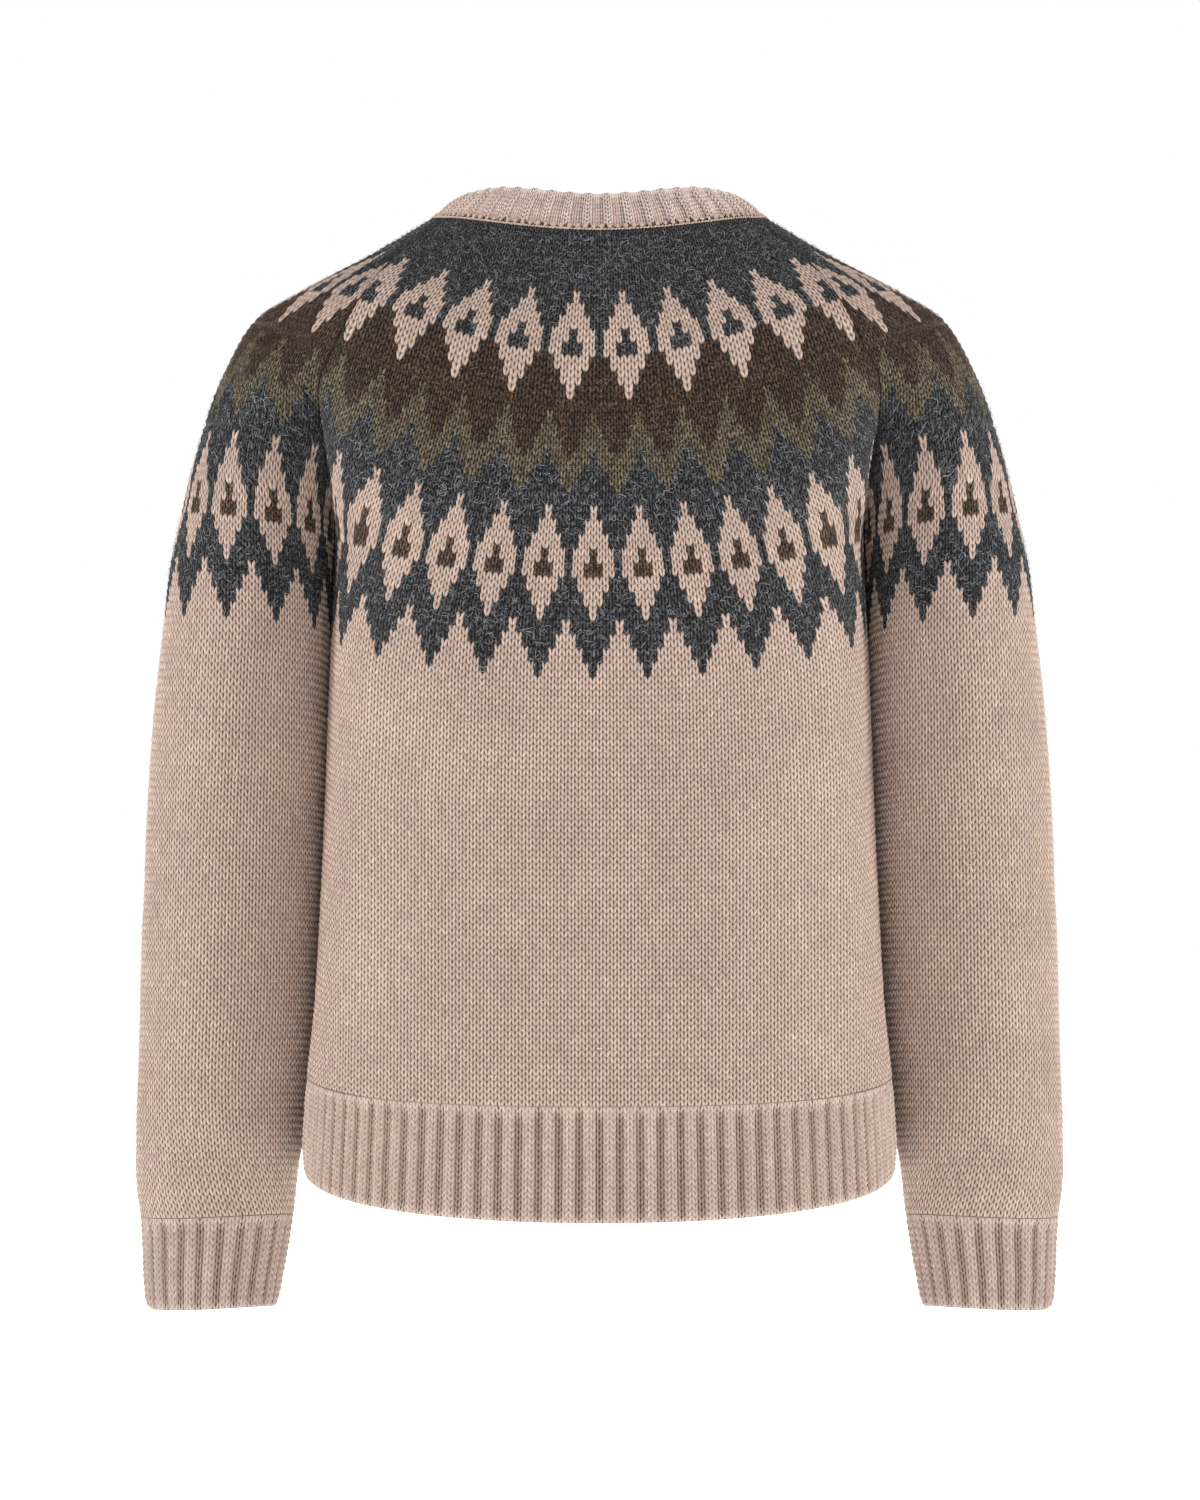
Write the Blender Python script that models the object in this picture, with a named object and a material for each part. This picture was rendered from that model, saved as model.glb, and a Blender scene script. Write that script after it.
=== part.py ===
"""Jacquard yoke cardigan, worn form with no wearer in it, front buttoned.

The outer skin of the garment is a family of rings, one for each knitted row from the neck seam down.
A ring goes from the centre back to the raglan seam, over the sleeve, to the front raglan seam and to the
centre front. Every piece is a wall on a stretch of that skin, with plain inside and gaps at its seams.

Lengths are in millimetres until a mesh is made. +Z is up, +Y is the wearer's front and +X the wearer's
right. The origin is the centre of the neck opening, level with the neck seam at the shoulders.
"Down" is how far a knitted row lies below the neck seam, measured on the centre back.
"""

import math

import bmesh
import bpy
import numpy as np

METRES = 0.001

# Driving sizes
WALL = 2.8
SEAM_GAP = 0.3
NECK_GAP = 1.0
UNDERARM = 190.0
SLEEVE_CLEAR_FROM = 140.0
RIB_TOP = 491.0
HEM_END = 555.0
CUFF_TOP = 588.0
CUFF_END = 637.0
SLEEVE_CLIMB = 0.14

# Ribs: two knit stitches stand up, one purl stitch sinks between them
RIB_SUNK = 1.2
RIB_RAISED = 0.5
RIB_GROOVE_SHARE = 0.32
RIB_END = 3.5
BACK_HEM_RIBS = 42
FRONT_HEM_RIBS = 19
CUFF_RIBS = 22
COLLAR_RIBS = 42

# Collar, leaning inward from the neck seam. Its rows run from minus its height to 0.
COLLAR_HEIGHT = 28.0
COLLAR_LEAN = 17.0
COLLAR_BULGE = 1.6

# Front bands and buttons. The button band lies under the buttonhole band, and ends past the centre.
BAND_HALF = 15.0
BAND_UNDER_EDGE = 13.0
BAND_UNDER_END = 5.0
BAND_STEP = 7.0
BAND_LIFT = WALL + RIB_RAISED + 0.6
BAND_RIBS = 3
BUTTON_COUNT = 8
BUTTON_FIRST = -10.0
BUTTON_LAST = 530.0
BUTTON_RADIUS = 9.0
BUTTON_THICK = 3.6
BUTTON_SIDES = 18

# How finely the walls are divided
BACK_COLUMNS = 18
FRONT_COLUMNS = 9
SLEEVE_COLUMNS = 16
YOKE_ROWS = 12
BODY_ROWS = 8
SLEEVE_ROWS = 13
BAND_ROWS = 24
CURVE_SAMPLES = 40


def table(columns, rows):
    """Named columns against the first one."""
    values = np.array(rows, dtype=float)
    return {name: (values[:, 0], values[:, index]) for index, name in enumerate(columns.split())}


# Centre back and centre front, for each row
BACK_LINE = table("down y z", [
    (0, -67, -15),
    (44, -91, -52),
    (80, -104, -85),
    (108, -111, -113),
    (137, -115, -141),
    (167, -118, -171),
    (201, -120, -205),
    (259, -120, -263),
    (330, -118, -334),
    (400, -117, -404),
    (491, -119, -496),
    (555, -120, -559),
])
FRONT_LINE = table("down y z", [
    (0, 66, -68),
    (44, 84, -94),
    (80, 96, -121),
    (108, 103, -145),
    (137, 108, -170),
    (167, 111, -197),
    (201, 113, -228),
    (259, 113, -282),
    (330, 112, -348),
    (400, 113, -414),
    (491, 116, -497),
    (555, 118, -556),
])

# Raglan seams down to the underarm. Turn is the ring's heading there, in degrees away from straight
# across, on the body's side and on the sleeve's, and climb is the ring's slope. Fullness squares the
# body's curve, and reach is the pull of the sleeve's curve.
BACK_RAGLAN = [
    (0, 86, -27, -3, 61, 0.10, 0.60, 61, 10),
    (44, 114, -43, -26, 57, 0.24, 0.60, 57, 15),
    (80, 131, -66, -50, 39, 0.28, 0.60, 39, 28),
    (108, 145, -73, -77, 40, 0.28, 0.60, 30, 33),
    (137, 156, -64, -105, 64, 0.25, 0.64, 0, 36),
    (152, 155.5, -50, -121, 84, 0.22, 0.68, -28, 40),
    (167, 152.5, -34, -139, 95, 0.18, 0.70, -54, 50),
    (180, 150.5, -14, -160, 94, 0.15, 0.71, -76, 66),
]
FRONT_RAGLAN = [
    (0, 84, 33, -9, 61, 0.42, 0.60, 61, 10),
    (44, 110, 47, -36, 55, 0.43, 0.60, 55, 15),
    (80, 130, 66, -63, 40, 0.38, 0.60, 40, 28),
    (108, 144, 72, -88, 40, 0.36, 0.60, 30, 33),
    (137, 155, 66, -113, 64, 0.30, 0.64, 0, 36),
    (152, 155, 54, -127, 84, 0.25, 0.68, -28, 40),
    (167, 152.5, 40, -143, 95, 0.20, 0.70, -54, 50),
    (180, 150.5, 23, -161, 94, 0.16, 0.71, -76, 66),
]
# From the underarm the two raglan seams go on as the side seam
SIDE = [
    (190, 150.5, 6, -178, 90, 0.14, 0.72, -90, 80),
    (259, 152.5, 6, -246, 90, 0.14, 0.72, -90, 80),
    (330, 154, 4, -318, 90, 0.13, 0.70, -90, 80),
    (400, 157, 2, -391, 90, 0.11, 0.68, -90, 80),
    (450, 160, 1, -446, 90, 0.08, 0.67, -90, 80),
    (491, 164, 0, -488, 90, 0.07, 0.66, -90, 80),
    (555, 167.5, 0, -543, 90, 0.08, 0.66, -90, 80),
]
SEAM_COLUMNS = "down x y z body_turn climb fullness sleeve_turn reach"
BACK_SEAM = table(SEAM_COLUMNS, BACK_RAGLAN + SIDE)
FRONT_SEAM = table(SEAM_COLUMNS, FRONT_RAGLAN + SIDE)

# The sleeve's outer line, over the shoulder and down to the wrist
SLEEVE_OUTER = table("down x y z reach", [
    (0, 95, 2, 0, 10),
    (44, 126, 3, -19, 18),
    (80, 168, 3, -41, 24),
    (108, 195, 4, -57, 31),
    (137, 214, 5, -89, 42),
    (152, 221.5, 5.5, -108, 52),
    (167, 228, 6, -129, 62),
    (180, 233, 6.5, -145, 72),
    (190, 236, 7, -158, 80),
    (229, 245.5, 9, -202, 79),
    (259, 249.5, 11, -235, 78),
    (300, 254.5, 14, -277, 76),
    (355, 259, 18, -332, 74),
    (411, 262, 22, -389, 72),
    (468, 265, 27, -448, 69),
    (525, 268.5, 32, -506, 66),
    (553, 269, 34, -535, 62),
    (575, 267.5, 36, -558, 57),
    (588, 265.5, 37, -572, 54),
    (600, 264.5, 38, -585, 52),
    (620, 264, 39.5, -606, 49),
    (637, 262.5, 41, -626, 46),
])
# The sleeve's inner line, from the underarm to the wrist, just clear of the body
SLEEVE_INNER = table("down x y z reach", [
    (190, 151.4, 6, -178, 80),
    (259, 154.7, 10, -246, 78),
    (330, 156.5, 16, -318, 75),
    (411, 159.7, 23, -391, 72),
    (468, 163.2, 28, -448, 69),
    (525, 169, 33, -506, 66),
    (553, 173, 35, -535, 62),
    (588, 177.5, 37, -572, 54),
    (637, 187, 41, -626, 46),
])
# How far the collar stands up, against the angle round the neck from the centre back
COLLAR_UP = table("turn up", [
    (0, 22.6),
    (30, 22.4),
    (50, 20.9),
    (75, 15.5),
    (95, 13.0),
    (180, 17.0),
])


def read(source, name, at):
    """One column of a table at any rows, by a smooth curve that adds no bumps between the rows."""
    knots, values = source[name]
    at = np.clip(np.atleast_1d(np.asarray(at, dtype=float)), knots[0], knots[-1])
    steps = np.diff(knots)
    slopes = np.diff(values) / steps
    tangents = np.zeros(len(knots))
    tangents[0] = slopes[0]
    tangents[-1] = slopes[-1]
    for k in range(1, len(knots) - 1):
        if slopes[k - 1] * slopes[k] > 0:
            before = 2 * steps[k] + steps[k - 1]
            after = steps[k] + 2 * steps[k - 1]
            tangents[k] = (before + after) / (before / slopes[k - 1] + after / slopes[k])
    cell = np.clip(np.searchsorted(knots, at, side="right") - 1, 0, len(steps) - 1)
    width = steps[cell]
    t = (at - knots[cell]) / width
    return ((2 * t**3 - 3 * t**2 + 1) * values[cell] + (t**3 - 2 * t**2 + t) * width * tangents[cell]
            + (3 * t**2 - 2 * t**3) * values[cell + 1] + (t**3 - t**2) * width * tangents[cell + 1])


def points(x, y, z):
    """Coordinates for each row as one array of points."""
    return np.stack(np.broadcast_arrays(x, y, z), axis=-1).astype(float)


def bezier(first, pull_first, pull_last, last):
    """Rows of cubic curves, finely sampled."""
    t = np.linspace(0, 1, CURVE_SAMPLES)[None, :, None]
    return ((1 - t)**3 * first[:, None] + 3 * (1 - t)**2 * t * pull_first[:, None]
            + 3 * (1 - t) * t**2 * pull_last[:, None] + t**3 * last[:, None])


def spread(curves, shares):
    """Points of each row's curve at the given shares of its length."""
    shares = np.broadcast_to(shares, (len(curves), np.shape(shares)[-1]))
    result = np.zeros(shares.shape + (3,))
    for row, curve in enumerate(curves):
        lengths = np.linalg.norm(np.diff(curve, axis=0), axis=1)
        along = np.concatenate([[0], np.cumsum(lengths)])
        for axis in range(3):
            result[row, :, axis] = np.interp(shares[row] * along[-1], along, curve[:, axis])
    return result


def body_half(down, line, seam):
    """Curves from the centre back or centre front to the seam, on the wearer's right."""
    fullness = read(seam, "fullness", down)[:, None]
    centre = points(0, read(line, "y", down), read(line, "z", down))
    edge = points(read(seam, "x", down), read(seam, "y", down), read(seam, "z", down))
    turn = np.radians(read(seam, "body_turn", down))
    corner_x = edge[:, 0] - np.abs(edge[:, 1] - centre[:, 1]) / np.tan(turn)
    pull_centre = centre + fullness * (points(corner_x, centre[:, 1], centre[:, 2]) - centre)
    corner = points(corner_x, centre[:, 1], edge[:, 2])
    corner[:, 2] -= read(seam, "climb", down) * np.linalg.norm(corner - edge, axis=1)
    pull_edge = edge + fullness * (corner - edge)
    return bezier(centre, pull_centre, pull_edge, edge)


def sleeve_edge(down, seam):
    """Where the sleeve starts: on the raglan seam, and below the underarm on its own inner line."""
    below = down > UNDERARM
    full_gap = read(SLEEVE_INNER, "x", UNDERARM)[0] - read(seam, "x", UNDERARM)[0]
    inner_gap = np.interp(down, [SLEEVE_CLEAR_FROM, UNDERARM], [0, full_gap])
    edge = points(read(seam, "x", down) + inner_gap, read(seam, "y", down), read(seam, "z", down))
    inner = points(*(read(SLEEVE_INNER, axis, down) for axis in "xyz"))
    reach = np.where(below, read(SLEEVE_INNER, "reach", down), read(seam, "reach", down))
    turn = np.radians(np.where(below, -90.0, read(seam, "sleeve_turn", down)))
    return np.where(below[:, None], inner, edge), reach, turn


def sleeve_half(down, seam, forward):
    """Curves from the sleeve's edge to its outer line, on the wearer's right."""
    edge, reach, turn = sleeve_edge(down, seam)
    outer = points(*(read(SLEEVE_OUTER, axis, down) for axis in "xyz"))
    side = 1.0 if forward else -1.0
    climb = np.where(down > UNDERARM, SLEEVE_CLIMB, read(seam, "climb", down))
    pull_edge = edge + points(reach * np.cos(turn), -side * reach * np.sin(turn), reach * climb)
    pull_outer = outer + points(0, side * read(SLEEVE_OUTER, "reach", down), 0)
    return bezier(edge, pull_edge, pull_outer, outer)


def join(first, second):
    """Two rows of curves end to end."""
    return np.concatenate([first[:, :-1], second], axis=1)


def mirrored(curves):
    """The same curves on the wearer's left, run the other way."""
    return curves[:, ::-1] * np.array([-1.0, 1.0, 1.0])


def back_rings(down):
    """Whole back, from the left seam to the right one."""
    right = body_half(down, BACK_LINE, BACK_SEAM)
    return join(mirrored(right), right)


def front_rings(down):
    """Right front, from the centre front to the seam."""
    return body_half(down, FRONT_LINE, FRONT_SEAM)


def sleeve_rings(down):
    """Right sleeve, from the back seam over the outer line to the front seam."""
    return join(sleeve_half(down, BACK_SEAM, False), sleeve_half(down, FRONT_SEAM, True)[:, ::-1])


def neck_ring():
    """Right half of the neck seam, from the centre back to the centre front."""
    top = np.array([0.0])
    back = body_half(top, BACK_LINE, BACK_SEAM)
    return join(join(back, sleeve_rings(top)), front_rings(top)[:, ::-1])


def collar_rings(down):
    """Whole collar from the centre front round the back, from its top edge to the neck seam at 0."""
    base = neck_ring()[0]
    up = read(COLLAR_UP, "up", np.degrees(np.arctan2(np.abs(base[:, 0]), -base[:, 1])))
    inward = -base * np.array([1.0, 1.0, 0.0])
    inward /= np.linalg.norm(inward, axis=1)[:, None]
    rise = -np.asarray(down)[:, None, None] / COLLAR_HEIGHT
    right = base[None] + inward[None] * (COLLAR_LEAN * rise - COLLAR_BULGE * np.sin(math.pi * rise)**2)
    right[..., 2] += up[None] * rise[..., 0]
    return join(mirrored(right), right)


# Soft folds, pressed in or out of a piece's wall. Across is a share of the piece's width and along is
# down in millimetres; lean is how far the fold's lower end moves across, as a share of the width.
FOLDS = {
    "back": table("number across along half_width half_length depth lean", [
        (0, 0.045, 215, 0.045, 70, -2.5, 0.00),
        (1, 0.955, 215, 0.045, 70, -2.5, 0.00),
        (2, 0.20, 410, 0.05, 90, -2.0, -0.06),
        (3, 0.80, 430, 0.05, 80, -2.0, 0.06),
        (4, 0.36, 330, 0.07, 120, 1.6, 0.02),
        (5, 0.63, 360, 0.07, 110, 1.5, -0.02),
        (6, 0.50, 250, 0.08, 90, -1.4, 0.00),
    ]),
    "front": table("number across along half_width half_length depth lean", [
        (0, 0.90, 215, 0.08, 70, -2.5, 0.00),
        (1, 0.60, 380, 0.10, 110, 1.8, 0.05),
        (2, 0.30, 430, 0.08, 90, -1.6, 0.03),
    ]),
    "sleeve": table("number across along half_width half_length depth lean", [
        (0, 0.20, 300, 0.05, 75, -2.6, 0.03),
        (1, 0.82, 330, 0.06, 60, -3.2, -0.04),
        (2, 0.70, 392, 0.12, 16, -3.0, -0.10),
        (3, 0.30, 470, 0.06, 60, 2.2, 0.04),
        (4, 0.24, 556, 0.16, 13, -2.4, -0.06),
        (5, 0.74, 560, 0.16, 12, -2.6, 0.06),
        (6, 0.50, 520, 0.07, 45, -2.0, 0.03),
    ]),
}


def fold_depths(piece, shares, down):
    """How far the folds move each point of a piece outward."""
    across = np.broadcast_to(shares, (len(down), np.shape(shares)[-1]))
    along = np.asarray(down)[:, None]
    moved = np.zeros(across.shape)
    folds = FOLDS[piece]
    columns = [folds[name][1] for name in ("across", "along", "half_width", "half_length", "depth", "lean")]
    for middle, level, half_width, half_length, depth, lean in zip(*columns):
        climb = (along - level) / half_length
        drift = middle + lean * climb
        moved = moved + depth * np.exp(-((across - drift) / half_width)**2 - climb**2)
    return moved


def skin(rings, down, shares, outward=1.0, folds=None):
    """Outer points and outward directions of a stretch of rings, with a piece's folds if it has any."""
    step_across = 0.002
    step_down = 1.0
    curves = rings(down)
    middle = spread(curves, shares)
    after = spread(curves, np.clip(shares + step_across, 0, 1))
    before = spread(curves, np.clip(shares - step_across, 0, 1))
    below = spread(rings(down + step_down), shares)
    above = spread(rings(down - step_down), shares)
    facing = outward * np.cross(below - above, after - before)
    facing /= np.linalg.norm(facing, axis=2)[..., None]
    if folds:
        middle = middle + facing * fold_depths(folds, shares, down)[..., None]
    return middle, facing


def new_object(name, mesh_maker, material):
    """A named object from vertices and faces, in metres."""
    vertices, faces = mesh_maker
    mesh = bpy.data.meshes.new(name)
    mesh.from_pydata([tuple(v * METRES) for v in vertices], [], faces)
    mesh.update()
    work = bmesh.new()
    work.from_mesh(mesh)
    bmesh.ops.recalc_face_normals(work, faces=work.faces)
    bmesh.ops.triangulate(work, faces=work.faces)
    work.to_mesh(mesh)
    work.free()
    mesh.materials.append(material)
    mesh.shade_smooth()
    made = bpy.data.objects.new(name, mesh)
    bpy.context.collection.objects.link(made)
    return made


def boundary(faces):
    """The directed edges that only one face has."""
    seen = {}
    for face in faces:
        for start, end in zip(face, face[1:] + face[:1]):
            seen[(start, end)] = True
    return [edge for edge in seen if (edge[1], edge[0]) not in seen]


def wall(outer, inner, closed_from=None):
    """A closed wall between two grids of points. Rows from closed_from on join into a tube."""
    rows, columns = outer.shape[:2]
    number = np.arange(rows * columns).reshape(rows, columns)
    if closed_from is not None:
        number[closed_from:, -1] = number[closed_from:, 0]
    faces = []
    for row in range(rows - 1):
        for column in range(columns - 1):
            loop = [number[row, column], number[row, column + 1],
                    number[row + 1, column + 1], number[row + 1, column]]
            faces.append(tuple(int(v) for v in loop))
    count = rows * columns
    edges = boundary(faces)
    inside = [tuple(v + count for v in reversed(face)) for face in faces]
    rim = [(end, start, start + count, end + count) for start, end in edges]
    vertices = np.concatenate([outer.reshape(-1, 3), inner.reshape(-1, 3)])
    return compact(vertices, faces + inside + rim)


def compact(vertices, faces):
    """The same mesh without vertices that no face uses."""
    used = sorted({v for face in faces for v in face})
    place = {v: index for index, v in enumerate(used)}
    return [vertices[v] for v in used], [tuple(place[v] for v in face) for face in faces]


def bridge(first, second, first_at, second_at):
    """Triangles between two lines of vertex numbers that run side by side, paired by their places."""
    faces = []
    i = 0
    j = 0
    while i < len(first) - 1 or j < len(second) - 1:
        if j == len(second) - 1 or (i < len(first) - 1 and first_at[i + 1] <= second_at[j + 1] + 1e-9):
            faces.append((first[i], first[i + 1], second[j]))
            i += 1
        else:
            faces.append((first[i], second[j + 1], second[j]))
            j += 1
    return faces


def ribbed_wall(outer, inner, outer_at, inner_at, closed=False):
    """A wall with many outer columns over a plain inside with few, each at its place across."""
    rows, fine = outer.shape[:2]
    inner_rows, coarse = inner.shape[:2]
    out = np.arange(rows * fine).reshape(rows, fine)
    into = rows * fine + np.arange(inner_rows * coarse).reshape(inner_rows, coarse)
    if closed:
        out[:, -1] = out[:, 0]
        into[:, -1] = into[:, 0]
    faces = []
    for number, flip in ((out, False), (into, True)):
        for row in range(number.shape[0] - 1):
            for column in range(number.shape[1] - 1):
                loop = [number[row, column], number[row, column + 1],
                        number[row + 1, column + 1], number[row + 1, column]]
                faces.append(tuple(int(v) for v in (loop[::-1] if flip else loop)))
    for row in (0, -1):
        strip = bridge([int(v) for v in out[row]], [int(v) for v in into[row]], outer_at, inner_at)
        faces += [face[::-1] if row == 0 else face for face in strip]
    if not closed:
        for column in (0, -1):
            levels = range(rows)
            near = [int(v) for v in out[:, column]]
            far = [int(v) for v in into[:, column]]
            strip = bridge(near, far, levels, levels)
            faces += [face if column == 0 else face[::-1] for face in strip]
    vertices = np.concatenate([outer.reshape(-1, 3), inner.reshape(-1, 3)])
    return compact(vertices, faces)


def rib_shares(count):
    """Shares across a ribbed piece and the rib's height there, three columns to a rib."""
    half_groove = 0.5 * RIB_GROOVE_SHARE
    shares = []
    heights = []
    for rib in range(count):
        for place, height in ((0.0, 0.0), (half_groove, 1.0), (1.0 - half_groove, 1.0)):
            shares.append((rib + place) / count)
            heights.append(height)
    return np.array(shares + [1.0]), np.array(heights + [0.0])


def rib_relief(heights, rows):
    """Outward move of a ribbed wall's outer points. The last row is the smooth cast-off edge."""
    relief = np.tile(-RIB_SUNK + (RIB_SUNK + RIB_RAISED) * heights, (rows, 1))
    relief[-1] = -0.5 * RIB_SUNK
    return relief


def row_lengths(curves):
    """The length of each row's curve."""
    return np.linalg.norm(np.diff(curves, axis=1), axis=2).sum(axis=1)[:, None]


def between(curves, shares, start_gap, end_gap):
    """Shares of each row, moved off its two ends by real lengths."""
    lengths = row_lengths(curves)
    return start_gap / lengths + shares[None] * (1 - (start_gap + end_gap) / lengths)


def panel_rows(last, lower_rows):
    """Rows of a panel from the neck seam, with one at the underarm."""
    yoke = np.linspace(0.5 * SEAM_GAP, UNDERARM, YOKE_ROWS)
    return np.concatenate([yoke, np.linspace(UNDERARM, last - 0.5 * SEAM_GAP, lower_rows)[1:]])


def rib_rows(first, last):
    """Rows of a ribbed hem or cuff: the ribs' top, middle and end, then the cast-off edge."""
    top = first + 0.5 * SEAM_GAP
    return np.array([top, 0.5 * (top + last), last - RIB_END, last])


def finish(name, colour, roughness):
    """The material of the knitted yarn or of the buttons."""
    material = bpy.data.materials.new(name)
    material.use_nodes = True
    shader = material.node_tree.nodes["Principled BSDF"]
    shader.inputs["Base Color"].default_value = (*colour, 1.0)
    shader.inputs["Roughness"].default_value = roughness
    shader.inputs["Metallic"].default_value = 0.0
    return material


def mirror_mesh(made):
    """The mirror image of a wall, for the wearer's left."""
    vertices, faces = made
    return [v * np.array([-1.0, 1.0, 1.0]) for v in vertices], [face[::-1] for face in faces]


def make_back(material):
    """The back panel, from the neck seam to the rib."""
    down = panel_rows(RIB_TOP, BODY_ROWS)
    columns = np.linspace(0, 1, BACK_COLUMNS + 1)
    shares = between(back_rings(down), columns, 0.5 * SEAM_GAP, 0.5 * SEAM_GAP)
    outer, facing = skin(back_rings, down, shares, folds="back")
    new_object("back", wall(outer, outer - WALL * facing), material)


def front_panel(band_edge):
    """A front panel on the wearer's right, from the band's edge to the seam."""
    down = panel_rows(RIB_TOP, BODY_ROWS)
    columns = np.linspace(0, 1, FRONT_COLUMNS + 1)
    shares = between(front_rings(down), columns, band_edge + 0.5 * SEAM_GAP, 0.5 * SEAM_GAP)
    outer, facing = skin(front_rings, down, shares, outward=-1.0, folds="front")
    return wall(outer, outer - WALL * facing)


def make_fronts(material):
    """Both front panels, each from its band's edge to the seam."""
    new_object("front_right", front_panel(BAND_HALF), material)
    new_object("front_left", mirror_mesh(front_panel(BAND_UNDER_EDGE)), material)


def close_facing(facing, rows):
    """Give the two edges of a tube's rows the same outward direction."""
    shared = facing[rows, 0] + facing[rows, -1]
    shared /= np.linalg.norm(shared, axis=1)[:, None]
    facing[rows, 0] = shared
    facing[rows, -1] = shared


def make_sleeves(material):
    """Both sleeves: open towards the body down to the underarm, and a tube below it."""
    down = panel_rows(CUFF_TOP, SLEEVE_ROWS)
    below = down >= UNDERARM
    curves = sleeve_rings(down)
    gaps = np.where(below, 0.0, 0.5 * SEAM_GAP)[:, None] / row_lengths(curves)
    shares = gaps + np.linspace(0, 1, SLEEVE_COLUMNS + 1)[None] * (1 - 2 * gaps)
    outer, facing = skin(sleeve_rings, down, shares, folds="sleeve")
    close_facing(facing, slice(int(np.argmax(below)), None))
    right = wall(outer, outer - WALL * facing, int(np.argmax(below)))
    new_object("sleeve_right", right, material)
    new_object("sleeve_left", mirror_mesh(right), material)


def ribbed_panel(rings, down, count, start_gap, end_gap, outward):
    """A ribbed wall below a panel."""
    shares, heights = rib_shares(count)
    curves = rings(down)
    outer, facing = skin(rings, down, between(curves, shares, start_gap, end_gap), outward)
    outer = outer + facing * rib_relief(heights, len(down))[..., None]
    plain = np.linspace(0, 1, count + 1)
    inner, inner_facing = skin(rings, down, between(curves, plain, start_gap, end_gap), outward)
    return ribbed_wall(outer, inner - WALL * inner_facing, shares, plain)


def make_hem(material):
    """The ribbed hem, in a back piece and two front pieces."""
    down = rib_rows(RIB_TOP, HEM_END)
    half_gap = 0.5 * SEAM_GAP
    back = ribbed_panel(back_rings, down, BACK_HEM_RIBS, half_gap, half_gap, 1.0)
    new_object("hem_back", back, material)
    for side, band_edge in (("right", BAND_HALF), ("left", BAND_UNDER_EDGE)):
        front = ribbed_panel(front_rings, down, FRONT_HEM_RIBS, band_edge + half_gap, half_gap, -1.0)
        new_object("hem_front_" + side, front if side == "right" else mirror_mesh(front), material)


def make_cuffs(material):
    """The ribbed cuffs, each a closed tube."""
    down = rib_rows(CUFF_TOP, CUFF_END)
    shares, heights = rib_shares(CUFF_RIBS)
    outer, facing = skin(sleeve_rings, down, shares)
    close_facing(facing, slice(0, None))
    outer = outer + facing * rib_relief(heights, len(down))[..., None]
    plain = np.linspace(0, 1, CUFF_RIBS + 1)
    inner, inner_facing = skin(sleeve_rings, down, plain)
    close_facing(inner_facing, slice(0, None))
    right = ribbed_wall(outer, inner - WALL * inner_facing, shares, plain, closed=True)
    new_object("cuff_right", right, material)
    new_object("cuff_left", mirror_mesh(right), material)


def make_collar(material):
    """The ribbed neckband, from one front band round the back to the other."""
    down = np.array([-COLLAR_HEIGHT, RIB_END - COLLAR_HEIGHT, -0.5 * COLLAR_HEIGHT,
                     0.5 * SEAM_GAP - NECK_GAP])
    shares, heights = rib_shares(COLLAR_RIBS)
    start = BAND_UNDER_EDGE + 0.5 * SEAM_GAP
    end = BAND_HALF + 0.5 * SEAM_GAP
    curves = collar_rings(down)
    outer, facing = skin(collar_rings, down, between(curves, shares, start, end))
    outer = outer + facing * rib_relief(heights, len(down))[::-1, :, None]
    plain = np.linspace(0, 1, COLLAR_RIBS + 1)
    inner, inner_facing = skin(collar_rings, down, between(curves, plain, start, end))
    new_object("collar", ribbed_wall(outer, inner - WALL * inner_facing, shares, plain), material)


def opening_strip(down, across, lift):
    """Points along the front opening, a given way across from its centre and lifted off the skin."""
    def one_side(rows):
        lower = front_rings(np.maximum(rows, 0.0))
        upper = collar_rings(np.minimum(rows, 0.0))[:, :-CURVE_SAMPLES - 1:-1]
        return np.where((rows < 0)[:, None, None], upper, lower)

    def rings(rows):
        return join(mirrored(one_side(rows)), one_side(rows))

    half = 0.5 * row_lengths(rings(down))
    shares = 0.5 + 0.5 * across[None] / half
    middle, facing = skin(rings, down, shares, outward=-1.0)
    return middle + facing * lift[..., None], facing


def band_rows():
    """Rows of a front band, from the collar's top edge to the hem."""
    lower = np.linspace(0, HEM_END - RIB_END, BAND_ROWS)
    return np.concatenate([[-COLLAR_HEIGHT, -0.5 * COLLAR_HEIGHT], lower, [HEM_END]])


def band(start, end, lift_of, ribs):
    """A ribbed band over a stretch of the front opening."""
    shares, heights = rib_shares(ribs)
    across = start + shares * (end - start)
    down = band_rows()
    relief = rib_relief(heights, len(down))
    outer, _ = opening_strip(down, across, lift_of(across) + relief)
    plain = np.linspace(start, end, 2 * ribs + 1)
    inner, _ = opening_strip(down, plain, lift_of(plain) - WALL + np.zeros((len(down), 1)))
    return ribbed_wall(outer, inner, across, plain)


def flat_lift(across):
    """The button band lies level with the front panels."""
    return np.zeros(np.shape(across))


def over_lift(across):
    """The buttonhole band lies on the button band and comes down to its own front panel."""
    t = np.clip((BAND_HALF - across) / (BAND_HALF - BAND_STEP), 0, 1)
    return BAND_LIFT * t * t * (3 - 2 * t)


def make_bands(material):
    """The button band on the wearer's left, and the buttonhole band over it."""
    under = band(-BAND_UNDER_EDGE, BAND_UNDER_END, flat_lift, BAND_RIBS - 1)
    new_object("button_band", under, material)
    over = band(-BAND_HALF, BAND_HALF, over_lift, BAND_RIBS)
    new_object("buttonhole_band", over, material)


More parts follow.
